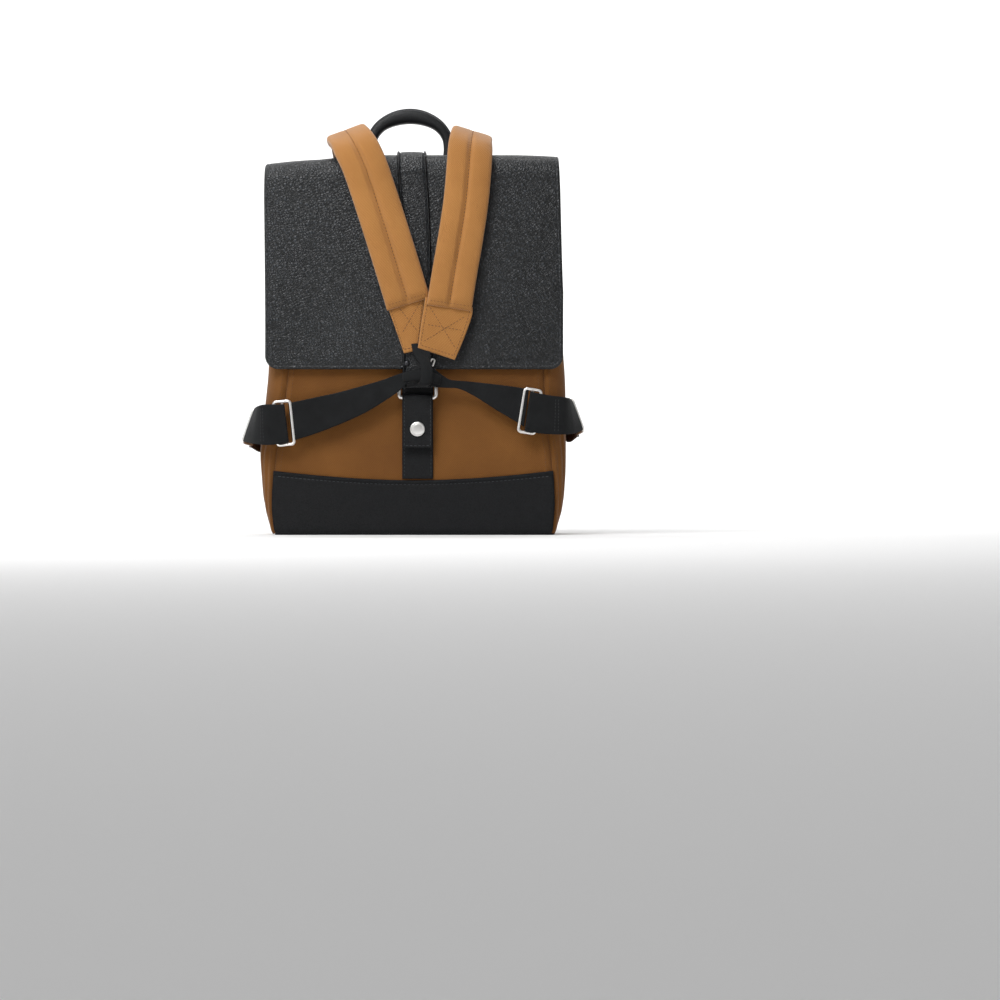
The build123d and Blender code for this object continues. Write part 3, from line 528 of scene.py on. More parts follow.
def creaseField(z, run, folds):
    # sewn-in folds: each is (distance from the seam, low z, high z, slant, depth)
    total = 0
    for at, low, high, slant, depth in folds:
        line = run - at - slant * (z - low)
        window = np.clip((z - low) / 18, 0, 1) * np.clip((high - z) / 22, 0, 1)
        total = total - depth * np.exp(-(line / 2.0) ** 2) * window
        total = total + depth * 0.6 * np.exp(-((line - 4.5) / 3.2) ** 2) * window
    return total


def bodyPanel(s0, s1, columns, seed, wobble=0.5, folds=()):
    # one sewn panel: its two upright edges turn in at the seams, and slow creases run over it
    ease = np.linspace(0, 1, columns)
    z = 1.4 + (bodyTop - 1.4) * np.linspace(0, 1, bagBody["rows"])
    sg, zg = np.meshgrid(s0 + (s1 - s0) * ease, z)
    x, y = bodyPoint(sg, zg)
    grid = np.stack([x, y, zg], axis=-1)
    n = normalsOf(grid)
    n = n * np.sign(np.sum(n[..., :2] * grid[..., :2], axis=-1, keepdims=True))
    steps = np.linalg.norm(np.diff(grid, axis=1), axis=-1)
    run = np.concatenate([np.zeros((len(z), 1)), np.cumsum(steps, axis=1)], axis=1)
    fromSeam = np.minimum(run, run[:, -1:] - run)
    dip = -bagBody["seamDip"] * np.exp(-(fromSeam / 2.6) ** 2)
    dip = dip + 0.7 * np.exp(-((fromSeam - 6.0) / 3.0) ** 2)
    slow = wobble * softNoise(x + y, zg * 0.8, seed, 34.0)
    slow = slow * np.clip(zg / 30, 0, 1) * np.clip(fromSeam / 12, 0.2, 1)
    lift = dip + slow
    if folds:
        share = run / run[:, -1:]
        sag = (4.5 * np.exp(-((share - 0.5) / 0.2) ** 2) * np.clip((zg - 60) / 120, 0, 1)
               * np.clip((bodyTop - zg) / 60, 0, 1))
        roll = (1.3 * np.sin(zg / 19 + 3 * share + seed) * np.exp(-((share - 0.4) / 0.3) ** 2)
                * np.clip((zg - 10) / 60, 0, 1))
        lift = lift - sag + roll * np.clip((bodyTop - zg) / 50, 0, 1) * np.clip(fromSeam / 25, 0, 1)
        lift = lift + creaseField(zg, fromSeam, folds)
    return grid + n * lift[..., None], n


gussetFolds = ((6.5, 10, 100, 0.02, 1.3), (14.0, 18, 124, 0.03, 1.0), (8.0, 4, 38, 0.35, 1.5))
panels = (
    ("frontCanvas", -1.0, 1.0, 180, 3, "front_panel", 0.3, ()),
    ("gussetRight", 1.0, 3.0, 120, 5, "side_panel_right", 1.4, gussetFolds),
    ("backCanvas", 3.0, 5.0, 130, 8, "back_panel", 0.3, ()),
    ("gussetLeft", 5.0, 7.0, 120, 13, "side_panel_left", 1.4, gussetFolds),
)
for name, s0, s1, columns, seed, covers, wobble, folds in panels:
    mid, n = bodyPanel(s0, s1, columns, seed, wobble, folds)
    parts = [sheetPart(mid - n * 0.85, np.full(mid.shape[:2], bagBody["thickness"]), normals=n)]
    for column in (4, columns - 5):
        line = mid[6:, column] + n[6:, column] * 0.05
        parts.append(stitchPart(line, n[6:, column], 2.4, 3.6, 0.26, material=1))
    piece = makePiece(name, parts, [canvasTan, threadTan])
    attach(piece, "case")
    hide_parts(covers)
print("canvas body made")

# the leather cover over the front of the base
baseCover = {"side": 67.5, "middle": 57.5, "thickness": 2.0, "rows": 64, "columns": 220, "hem": 4.6}


def makeCover():
    # it hangs from a turned, stitched upper edge that dips towards the middle
    v = np.linspace(0, 1, baseCover["rows"]) ** 0.85
    ug, vg = np.meshgrid(np.linspace(-1, 1, baseCover["columns"]), v)
    rise = baseCover["side"] - baseCover["middle"]
    top = baseCover["middle"] + rise * np.abs(ug) ** 1.8
    zg = 0.9 + vg * (top - 0.9)
    xg, yg = bodyPoint(ug * 0.998, zg)
    xg = xg + 1.2 * ug ** 31
    below = (1 - vg) * top
    lift = 1.15 + 0.3 * softNoise(xg, zg, 21, 32.0) + 0.5 * np.exp(-((below - 2.2) / 1.9) ** 2)
    lift = lift - 0.55 * np.exp(-((below - baseCover["hem"]) / 0.8) ** 2)
    lift = lift - 1.3 * np.exp(-(zg / 2.2) ** 2) - 0.8 * np.exp(-((1 - np.abs(ug)) * 145 / 2.0) ** 2)
    grid = np.stack([xg, yg - lift, zg], axis=-1)
    out = np.zeros_like(grid)
    out[..., 1] = -1
    thick = baseCover["thickness"] * (1 - 0.45 * np.exp(-(below / 0.8) ** 2))
    parts = [sheetPart(grid, thick, normals=out)]
    row = int(np.argmin(np.abs((1 - v) * 60 - baseCover["hem"])))
    line = grid[row, 3:-3] + [0, -0.95, 0]
    parts.append(stitchPart(line, (0, -1, 0), 3.0, 4.4, 0.34, material=1))
    piece = makePiece("baseCoverLeather", parts, [baseLeather, threadGrey])
    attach(piece, "case")
    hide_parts("base_cover")


makeCover()
print("base cover made")

def patchSheet(low, high, rows, columns, thick, bulge=0.0, facing=(0, -1, 0), rim=0.6):
    # a strip of cloth or leather between two given edges, rounded off at its rim
    a, b = smoothPath(low, rows), smoothPath(high, rows)
    w = np.linspace(0, 1, columns)
    grid = a[:, None] * (1 - w[None, :, None]) + b[:, None] * w[None, :, None]
    n = normalsOf(grid)
    if np.mean(n @ np.array(facing, float)) < 0:
        n = -n
    grid = grid + n * (bulge * 4 * w * (1 - w))[None, :, None]
    width = np.linalg.norm(b - a, axis=1)[:, None]
    edge = np.minimum(w, 1 - w)[None] * width
    length = runLengths(a) / mm
    edge = np.minimum(edge, np.minimum(length, length[-1] - length)[:, None])
    body = thick * (1 - rim * np.exp(-(edge / 0.5) ** 2))
    return sheetPart(grid, body, normals=n), grid, n


def finish(name, parts, materials, body, nodes):
    # builds a piece with its finish, attaches it to its body if one is named, and hides the nodes it stands
    # for
    piece = makePiece(name, parts, materials)
    if body:
        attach(piece, body)
    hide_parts(*nodes)
    return piece


# the flap
flapShape = {
    "roll": 19.0, "half": 156.5, "corner": 14.0, "thickness": 2.8, "hem": 3.6,
    "leftDroop": 5.4, "leftRest": 5.0, "rightDroop": 2.0, "rearTuck": 6.0,
}
flapLow, flapHigh = nodeBox("flap_panel")
flapFront = flapLow[1] + 0.6
flapTop = flapHigh[2] - 1.6


def flapRoute():
    # from its sewn edge behind the mouth, over the top, round the roll and down the front
    r = flapShape["roll"]
    behind = [(67.4, 368), (67.6, 384), (66.2, 394), (61, 399)]
    over = [(52, flapTop - 0.6), (20, flapTop), (flapFront + r + 12, flapTop)]
    turn = np.radians([0, 22, 45, 68, 90])
    roll = [(flapFront + r - r * math.sin(a), flapTop - r + r * math.cos(a)) for a in turn]
    front = [(flapFront, flapTop - r - 15), (flapFront, 260), (flapFront, flapLow[2])]
    return smoothPath(behind + over + roll + front, 500)


flapLine = flapRoute()
flapRun = runLengths(flapLine) / mm
flapLength = flapRun[-1]


def flapHalf(s):
    left, r = flapLength - s, flapShape["corner"]
    cut = np.where(left < r, r - np.sqrt(np.maximum(r**2 - (r - left) ** 2, 0)), 0)
    return flapShape["half"] - cut - np.clip((34 - s) / 34, 0, 1) ** 1.5 * flapShape["rearTuck"]


def flapMid(x, s):
    # a point of the flap's middle surface; the upper corners droop and the panel waves a little
    y = np.interp(s, flapRun, flapLine[:, 0])
    z = np.interp(s, flapRun, flapLine[:, 1])
    onTop = np.clip((s - 20) / 30, 0, 1) * np.clip((260 - s) / 120, 0, 1)
    leftSide = np.clip((-x - 92) / 64, 0, 1) ** 1.7 * flapShape["leftDroop"]
    leftSide = leftSide + np.clip((-x - 45) / 55, 0, 1) ** 1.2 * flapShape["leftRest"]
    rightSide = np.clip((x - 100) / 56, 0, 1) ** 2 * flapShape["rightDroop"]
    hang = np.clip((s - 130) / 60, 0, 1)
    wave = 0.8 * softNoise(x, s, 31, 60.0) * hang
    left = flapLength - s
    turned = 1.2 * np.exp(-(left / 26) ** 2) * softNoise(x, s * 0, 33, 44.0)
    outline = np.clip((np.abs(x) - 120) / 36, 0, 1) ** 2 * 1.4 * softNoise(s, x * 0, 35, 90.0) * hang
    corner = np.clip((np.abs(x) - 131) / 25, 0, 0.98)
    hug = 21 * (1 - np.sqrt(1 - corner**2)) * np.clip((36 - s) / 26, 0, 1)
    pulled = np.clip(x / flapShape["half"], 0, 1) ** 2 * mouthPull(s)
    return np.stack([x + np.sign(x) * outline - pulled, y + wave + turned - hug,
                     z - (leftSide + rightSide) * onTop], axis=-1)


def fromOutline(x, s):
    # distance in from the flap's rounded outline
    dx, left, r = flapShape["half"] - np.abs(x), flapLength - s, flapShape["corner"]
    inCorner = (dx < r) & (left < r)
    round_ = r - np.sqrt(np.maximum(r - dx, 0) ** 2 + np.maximum(r - left, 0) ** 2)
    return np.minimum(np.where(inCorner, round_, np.minimum(dx, left)), s + 1.5)


def flapSheet(inset, shift, thick, grooved):
    # the flap's middle surface, finer towards its outline, thinning there and at the hem
    steps = np.array([0, 0.35, 0.9, 1.7, 2.7, 3.2, 3.6, 4.0, 4.6, 6.0])
    half = flapShape["half"]
    middle = np.linspace(-1 + 6 / half, 1 - 6 / half, 150)[1:-1]
    across = np.concatenate([-1 + steps / half, middle, (1 - steps / half)[::-1]])
    rows = [[0, 1, 3], np.linspace(6, flapLength - 20, 170), flapLength - np.linspace(19, 7, 10)]
    s = np.concatenate(rows + [(flapLength - steps)[::-1]])
    s = s * (flapLength - 2 * inset) / flapLength + inset
    ag, sg = np.meshgrid(across, s)
    x = ag * (flapHalf(sg + inset * (sg > 60)) - inset)
    mid = flapMid(x, sg)
    n = normalsOf(mid)
    n = n * np.sign(np.mean(n[60, :, 2]))
    edge = fromOutline(x, sg)
    body = np.full(x.shape, thick)
    if grooved:
        body = thick * np.sqrt(np.clip(edge / 1.5, 0.06,
                                       1)) - 0.55 * np.exp(-((edge - flapShape["hem"]) / 0.5) ** 2)
    return sheetPart(mid + n * shift, body, normals=n)


def flapHemLine():
    # the stitch line round the sides and the lower edge, with its outward direction
    inset, r, half = flapShape["hem"], flapShape["corner"], flapShape["half"]
    up = np.linspace(flapLength - 45, r, 240)
    a = np.radians(np.linspace(0, 90, 16))
    side = np.stack([np.full_like(up, inset - half), up], axis=1)
    turn = np.stack([r - half - (r - inset) * np.cos(a), r - (r - inset) * np.sin(a)], axis=1)
    low = np.linspace(r - half, half - r, 200)
    low = np.stack([low, np.full_like(low, inset)], axis=1)
    flip = np.array([-1, 1])
    path = np.concatenate([side, turn, low, (turn * flip)[::-1], (side * flip)[::-1]])
    s = flapLength - path[:, 1]
    base = flapMid(path[:, 0], s)
    along = unit(flapMid(path[:, 0], s + 0.5) - flapMid(path[:, 0], s - 0.5))
    up = np.cross(along, [1.0, 0, 0])
    up = unit(up * np.sign(up @ np.array([0, -1.0, 1.0]))[:, None])
    return base + up * 1.1, up


hem, hemUp = flapHemLine()
parts = [flapSheet(0, 0, flapShape["thickness"], True), stitchPart(hem, hemUp, 3.0, 4.3, 0.34, material=1)]
lining = flapSheet(3.0, -1.95, 0.9, False)
lining["m"] = 2
flap = finish("flapLeatherSkin", parts + [lining], [flapLeather, threadGrey, liningCloth], None,
              ["flap_panel", "flap_lining"])
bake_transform(flap)
print("flap made")

# the raised band down the flap, and its tongue
band = {"x": [3.5, 3.3, 2.6, 0.3, -1.6, -3.2], "z": [150, 186, 289, 352, 376, 402]}


def bandX(z):
    # where the band's middle stands at a height, eased between the stated places
    fine = smoothPath(np.stack([band["z"], band["x"]], axis=1), 200)
    return np.interp(z, fine[:, 0], fine[:, 1])


def bandProfile():
    # flat middle that domes a little, sewn channels, then a corded edge each side
    x = np.concatenate([np.linspace(-15.5, -10.5, 26), np.linspace(-10.2, 10.2, 25),
                        np.linspace(10.5, 15.5, 26)])
    a = np.abs(x)
    top = 1.75 + 0.5 * (1 - (a / 11) ** 2).clip(0) + 1.35 * np.exp(-((a - 13.9) / 1.0) ** 2)
    top = top - 0.9 * np.exp(-((a - 12.2) / 0.55) ** 2)
    top = top * np.sqrt(np.clip((15.5 - a) / 0.7, 0.0, 1))
    under = np.full_like(x, -1.2)
    ring = np.concatenate([np.stack([x, top], 1), np.stack([x[::-1], under], 1)])
    return ring


def makeBand():
    # the band's outline carried down the flap's own route, then past its lower edge
    start = np.searchsorted(flapRun, 28)
    route = np.stack([np.zeros(500 - start), flapLine[start:, 0], flapLine[start:, 1]], axis=1)
    extra = np.array([(0, flapFront - 0.3, 168), (0, flapFront - 1.6, 160), (0, flapFront - 1.9, 154.6)])
    route = smoothPath(np.concatenate([route[::8], extra]), 340)
    out = np.cross([1.0, 0, 0], unit(np.gradient(route, axis=0)))
    out = -out if out[30, 2] < 0 else out
    bulge = 1.2 + 1.6 * np.exp(-((route[:, 1] + 40) / 30) ** 2) * (route[:, 2] > 380)
    route = route + out * bulge[:, None]
    route[:, 0] = bandX(route[:, 2])
    side = np.tile([1.0, 0, 0], (len(route), 1))
    if out[30] @ np.cross(side[30], np.gradient(route, axis=0)[30]) < 0:
        side = -side
    body = sweepPart(route, side, bandProfile())
    parts = [body]
    for x in (-12.2, 12.2):
        line = route[6:-2] + [x, 0, 0] + out[6:-2] * 1.05
        parts.append(stitchPart(line, out[6:-2], 3.0, 4.3, 0.3, material=1))
    low = [(bandX(158) + x, flapFront - 4.3, 159.2) for x in np.linspace(-11, 11, 12)]
    parts.append(stitchPart(low, (0, -1, 0), 3.0, 4.3, 0.3, material=1))
    piece = finish("flapBandLeather", parts, [flapLeather, threadGrey], None, ["flap_band"])
    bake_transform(piece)


makeBand()
print("band made")

# the padded shoulder straps
strapShape = {"half": 23.6, "top": 6.0, "under": 4.6, "channel": 3.1, "wrinkle": 0.32}
strapRoutes = {
    "left": {
        "points": [(-5.4, -77.8, 241.5), (-14.0, -78, 270), (-25.7, -78, 308), (-42.4, -78, 360),
                   (-52.6, -77.5, 389),
                   (-61.5, -70, 407.5), (-70.2, -46, 421.4), (-76.0, -8, 427.0), (-76.4, 30, 417),
                   (-75, 54, 406),
                   (-74.5, 67.5, 392), (-74.5, 70.5, 376), (-74.5, 70.3, 359)],
        "tilt": [(0, 17), (0.5, 20), (0.62, 21.6), (0.75, 8), (0.85, 0), (1, 0)],
    },
    "right": {
        "points": [(36.9, -82.6, 237), (39.6, -82.0, 255), (43.1, -80, 276.8), (48.4, -78.3, 308),
                   (54.6, -78, 349.8),
                   (57.8, -77.5, 386), (59, -70, 406.5), (59.6, -46, 420.4), (60, -6, 427),
                   (60, 30, 417), (60, 54, 406),
                   (60, 68, 392), (60, 70.5, 376), (60, 70.3, 359)],
        "tilt": [(0, -15), (0.2, -8), (0.4, -9), (0.5, -15), (0.62, -19), (0.75, -8), (0.85, 0), (1, 0)],
    },
}


def strapProfile(run, seed):
    # two lobes with a sewn channel between them; the rim is a thin seam, and both ends go flat
    half = strapShape["half"]
    x = -half * np.cos(np.linspace(0, np.pi, 46))
    a = np.abs(x) / half
    share = (run / run[-1])[:, None]
    crest = np.clip((share - 0.48) / 0.07, 0, 1) * np.clip((0.76 - share) / 0.08, 0, 1)
    lobe = (1 - a[None] ** (3.4 + 12 * crest)).clip(0) ** 0.5
    channel = strapShape["channel"] * np.exp(-(x / 2.5) ** 2) + 0.7 * np.exp(-(x / 6) ** 2)
    total = run[-1]
    fade = np.sqrt(np.clip(run / 9, 0, 1)) * np.sqrt(np.clip((total - run) / 14, 0, 1))
    puff = (0.16 + 0.84 * fade)[:, None]
    wave = strapShape["wrinkle"] * softNoise(run[:, None] * 1.6, x[None] * 0.5, seed, 14.0) * lobe
    flatter = 1 - 0.86 * crest
    top = puff * (strapShape["top"] * lobe - channel * flatter * (lobe > 0.2) + wave)
    under = -puff * (strapShape["under"] * lobe - 0.8 * np.exp(-(x / 3) ** 2))
    rim = 0.55 * (a < 0.999)
    narrow = 1 - 0.04 * crest - 0.28 * np.clip((share - 0.6) / 0.14, 0, 1)
    upper = np.stack([x * narrow, top + rim], axis=-1)
    lower = np.stack([x * narrow, under - rim], axis=-1)[:, ::-1]
    return np.concatenate([upper, lower[:, 1:-1]], axis=1)


def makeStrap(name, seed):
    # the two-lobed outline carried along the strap's route, leaning as the route says
    route = strapRoutes[name]
    path = smoothPath(route["points"], 300)
    run = runLengths(path) / mm
    at, angle = np.array(route["tilt"], float).T
    tilt = np.radians(np.interp(run / run[-1], at, angle))
    tilt = np.convolve(np.pad(tilt, 15, mode="edge"), np.ones(31) / 31, mode="valid")
    side = np.stack([np.cos(tilt), np.zeros_like(tilt), np.sin(tilt)], axis=1)
    profile = strapProfile(run, seed)
    parts = [sweepPart(path, side, profile)]
    t = unit(np.gradient(path, axis=0))
    s = unit(side - t * np.sum(side * t, axis=1, keepdims=True))
    out = np.cross(s, t)
    keep = slice(6, 240)
    channel = profile[keep, 22:24, 1].mean(axis=1)
    line = path[keep] + out[keep] * (channel + 0.15)[:, None]
    parts.append(stitchPart(line, out[keep], 2.4, 3.7, 0.4, material=1))
    end = 4
    across = np.linspace(-21, 21, 30)
    row = path[end] + s[end] * across[:, None] + out[end] * (np.interp(across, profile[end, :46, 0],
            profile[end, :46, 1]))[:, None]
    parts.append(stitchPart(row, out[end], 2.3, 3.4, 0.3, material=1))
    piece = finish("strapPadded" + name.capitalize(), parts, [strapTan, threadStrap], None,
                   ["shoulder_strap_" + name, "strap_anchor_" + name])
    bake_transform(piece)


makeStrap("left", 41)
makeStrap("right", 43)
print("straps made")

# the straps' flat canvas ends, the right one over the left one
strapEnds = {
    "left": {
        "low": [(-29.6, -76.2, 246), (-27.6, -75.6, 239), (-18.6, -75.4, 214), (-10.4, -76.4, 190)],
        "high": [(13.0, -76.2, 256), (11.8, -75.8, 249), (8.0, -75.6, 222), (4.2, -76.4, 193.2)],
        "cross": [((-17, 240), (3, 214)), ((8, 246), (-12, 212))],
    },
    "right": {
        "low": [(12.2, -81.6, 249), (11.2, -81.0, 243), (7.4, -80.0, 219), (4.2, -80.4, 195.6)],
        "high": [(61.5, -81.4, 238), (61.2, -80.8, 231), (52.6, -79.6, 206), (42.9, -79.6, 183)],
        "cross": [((17, 238), (43, 196)), ((53, 228), (10, 202)), ((14, 220), (50, 214))],
    },
}


def makeStrapEnd(name):
    # a flat end between two edges, sewn round its rim and across in a star
    shape = strapEnds[name]
    part, grid, n = patchSheet(shape["low"], shape["high"], 60, 48, 2.3, 0.7)
    parts = [part]
    rim = [grid[4:-4, 3], grid[-5, 3:-3], grid[4:-4, -4][::-1]]
    rimUp = [n[4:-4, 3], n[-5, 3:-3], n[4:-4, -4][::-1]]
    for line, up in zip(rim, rimUp):
        parts.append(stitchPart(line + up * 1.2, up, 2.4, 3.5, 0.38, material=1))
    flat = grid[..., [0, 2]].reshape(-1, 2)
    for start, stop in shape["cross"]:
        want = np.linspace(start, stop, 40)
        near = np.argmin(np.linalg.norm(flat[None] - want[:, None], axis=-1), axis=1)
        y = grid.reshape(-1, 3)[near, 1]
        y = np.convolve(np.pad(y, 4, mode="edge"), np.ones(9) / 9, mode="valid")
        line = np.stack([want[:, 0], y - 1.25, want[:, 1]], axis=1)
        parts.append(stitchPart(line, (0, -1, 0), 2.3, 3.5, 0.36, material=1))
    finish("strapEnd" + name.capitalize(), parts, [strapTan, threadStrap], "harness",
           ["strap_end_" + name])


makeStrapEnd("left")
makeStrapEnd("right")
print("strap ends made")

# the tied webbing: both runs, and the knot in front of the tongue
webbingRuns = {
    "left": {
        "low": [(12, -80.5, 161.8), (-3, -80.6, 161.3), (-15, -79, 151), (-34, -76.6, 138.2),
                (-52, -75.8, 127.6),
                (-83, -75.2, 113.8), (-108, -75.0, 104.6), (-127.5, -75.6, 98.6)],
        "high": [(13, -81.5, 172), (0, -82, 172.8), (-12, -80.5, 169.6), (-34, -76.8, 162.0),
                 (-54, -75.8, 156.2),
                 (-80, -75.2, 149.2), (-106, -75.0, 143.6), (-131.5, -75.6, 138.2)],
    },
    "right": {
        "low": [(5, -79, 197), (6.5, -82.6, 183), (8.5, -84.6, 168), (13, -82.5, 157),
                (24, -78.8, 154.6), (36, -77, 154),
                (46, -76.2, 153.4), (62, -75.6, 146.2), (86, -75.2, 131.2), (104, -75.1, 120.5),
                (115.2, -75.6, 113.6)],
        "high": [(17, -78.5, 197), (17.5, -82.6, 187), (19, -83.6, 177), (25, -81, 171),
                 (31, -78.6, 166.6), (38, -77.2, 162.6),
                 (48, -76.6, 161.6), (64, -76.2, 160.2), (88, -75.4, 157.4), (106, -75.1, 155.2),
                 (120.5, -75.6, 152.8)],
    },
}


def makeWebbing(name):
    # one run of flat webbing between two edges, with its woven selvedges
    part, grid, n = patchSheet(webbingRuns[name]["low"], webbingRuns[name]["high"], 160, 30, 1.6, 0.0,
                               rim=0.4)
    parts = [part]
    for column in (2, -3):
        selvedge = grid[4:-4, column] + n[4:-4, column] * 0.72
        parts.append(stitchPart(selvedge, n[4:-4, column], 1.5, 1.9, 0.22))
    finish("webbingRun" + name.capitalize(), parts, [blackWebbing], "harness", ["webbing_" + name])


def blobPart(centre, radii, rows=24, columns=36, power=0.85):
    # an ellipsoid, a little squarer than a true one, to fill out the knot
    a, b = np.meshgrid(np.linspace(-np.pi / 2 + 0.05, np.pi / 2 - 0.05, rows),
                       np.linspace(0, 2 * np.pi, columns, endpoint=False), indexing="ij")
    ring = np.cos(a) ** power
    grid = np.stack([ring * np.cos(b) * radii[0], np.sin(a) * radii[1], ring * np.sin(b) * radii[2]],
                    axis=-1)
    return gridPart(grid + np.array(centre, float), wrapV=True, capU=True)


def makeKnot():
    # a packed core with two turns of webbing bulging over it
    strips = [
        ([(-3, -77.4, 200), (0, -79.5, 189), (7, -85.5, 178), (8.6, -88.2, 168), (6.5, -86.5, 160),
          (2, -80, 157)],
         [(9, -77.4, 200), (12, -80.5, 190), (18, -86.5, 179.5), (20.5, -89, 168), (18.5, -86.5, 158.5),
          (12, -80, 155.5)], 1.2),
        ([(-11, -80.2, 160.6), (0, -85, 161.5), (9, -86.6, 161.2), (20, -85.2, 158.6), (27, -80, 157.4)],
         [(-11, -80.6, 169.4), (0, -86, 171.8), (9, -87.4, 172), (20, -86, 169.6), (28, -80, 166.4)], 0.9),
    ]
    parts = [blobPart((8, -80.2, 167), (12.5, 4.6, 8.5))]
    for low, high, bulge in strips:
        part, grid, n = patchSheet(low, high, 70, 22, 1.7, bulge, rim=0.4)
        parts.append(part)
        for column in (2, -3):
            edge = grid[3:-3, column] + n[3:-3, column] * 0.75
            parts.append(stitchPart(edge, n[3:-3, column], 1.5, 1.9, 0.22))
    finish("strapKnotWebbing", parts, [blackWebbing], "harness", ["strap_knot"])


makeWebbing("left")
makeWebbing("right")
makeKnot()
print("webbing and knot made")

# sliders, side loops, rings and tabs
def wirePart(corners, radius, bend, flat=1.0, samples=14):
    # a closed wire through corner points, each rounded by a small arc
    p = np.array(corners, float)
    path = []
    for i in range(len(p)):
        before, here, after = p[i - 1], p[i], p[(i + 1) % len(p)]
        a, b = here + unit(before - here) * bend, here + unit(after - here) * bend
        t = np.linspace(0, 1, samples)[:, None]
        path.append((1 - t) ** 2 * a + 2 * t * (1 - t) * here + t**2 * b)
    path = np.concatenate(path)
    fine = []
    for i in range(len(path)):
        gap = path[(i + 1) % len(path)] - path[i]
        count = max(int(np.linalg.norm(gap) / 2.0), 1)
        fine.append(path[i] + gap * np.linspace(0, 1, count, endpoint=False)[:, None])
    path = np.concatenate(fine)
    centre = path.mean(axis=0)
    across = unit(np.cross(p[1] - p[0], p[2] - p[1]))
    return sweepPart(path, np.tile(across, (len(path), 1)),
                     ringProfile(2 * radius, 2 * radius * flat, 14, 2.2), closed=True)


def barPart(a, b, radius, count=12):
    # a straight round bar between two points
    a, b = np.array(a, float), np.array(b, float)
    path = a + (b - a) * np.linspace(0, 1, 16)[:, None]
    return sweepPart(path, np.tile([0.0, 1.0, 0.0], (16, 1)),
                     ringProfile(2 * radius, 2 * radius, count, 2.0))


sliderShape = {
    "left": {"centre": (-136.2, -75.2, 117.2), "lean": -6.0, "body": "slider_a"},
    "right": {"centre": (121.2, -75.2, 129.8), "lean": 9.0, "body": "slider_b"},
}
sliderSize = {"wide": 17.5, "tall": 45.6, "wire": 1.6}


def makeSlider(name):
    # a leaning wire rectangle with a bar down its middle
    shape = sliderShape[name]
    lean = math.radians(shape["lean"])
    up = np.array([math.sin(lean), 0, math.cos(lean)])
    right = np.array([math.cos(lean), 0, -math.sin(lean)])
    c = np.array(shape["centre"], float)
    w, t = sliderSize["wide"] / 2, sliderSize["tall"] / 2
    corners = [c - right * w - up * t, c + right * w - up * t, c + right * w + up * t,
               c - right * w + up * t]
    parts = [wirePart(corners, sliderSize["wire"], 3.6)]
    parts.append(barPart(c - up * t + [0, 2.2, 0], c + up * t + [0, 2.2, 0], 1.4))
    finish("sliderWire" + name.capitalize(), parts, [nickel], shape["body"], ["slider_" + name])


sideRuns = {
    "left": {
        "low": [(-131.4, -77.2, 97.0), (-142, -77.6, 95.3), (-156, -76.4, 94.4), (-166.5, -69, 95.6),
                (-175.5, -57, 97.2), (-182.5, -44, 99.0)],
        "high": [(-136.4, -77.2, 137.0), (-147, -77.6, 136.8), (-157.5, -76, 136.6),
                 (-163.6, -69, 135.4), (-167.2, -57, 134.6), (-170.4, -44, 133.4)],
        "front": [(-183.5, -42.6, 98.0), (-171.0, -42.6, 134.0)],
        "rear": [(-170.2, -23, 130), (-174.5, -23, 95.5)],
        "tab": [[(-175.5, -24, 92.5), (-169.5, -10, 88.5), (-164.2, 4, 88.5), (-163.8, 24, 90.5)],
                [(-172.6, -24, 113), (-167.5, -10, 112), (-162.6, 4, 111), (-161.8, 24, 110)]],
    },
    "right": {
        "low": [(116.4, -77.2, 109.2), (128, -77.6, 107.0), (142, -77.2, 105.6), (156, -75.4, 105.4),
                (166, -66, 106.4), (172.6, -55, 108.4), (178.2, -43, 111.6)],
        "high": [(122.4, -77.2, 150.4), (132, -77.6, 148.0), (144, -77.0, 146.0), (157.4, -75, 144.4),
                 (162.4, -67, 143.8), (164.4, -56, 143.2), (166.2, -44, 142.6)],
        "front": [(179.0, -42, 110.6), (166.8, -42, 143.4)],
        "rear": [(166.6, -22, 139), (171.2, -22, 106.5)],
        "tab": [[(171.8, -24, 103.5), (166.5, -10, 99.5), (163.4, 4, 99.5), (163.2, 24, 101.5)],
                [(169.6, -24, 125), (164.8, -10, 124), (162.2, 4, 123), (161.4, 24, 122)]],
    },
}


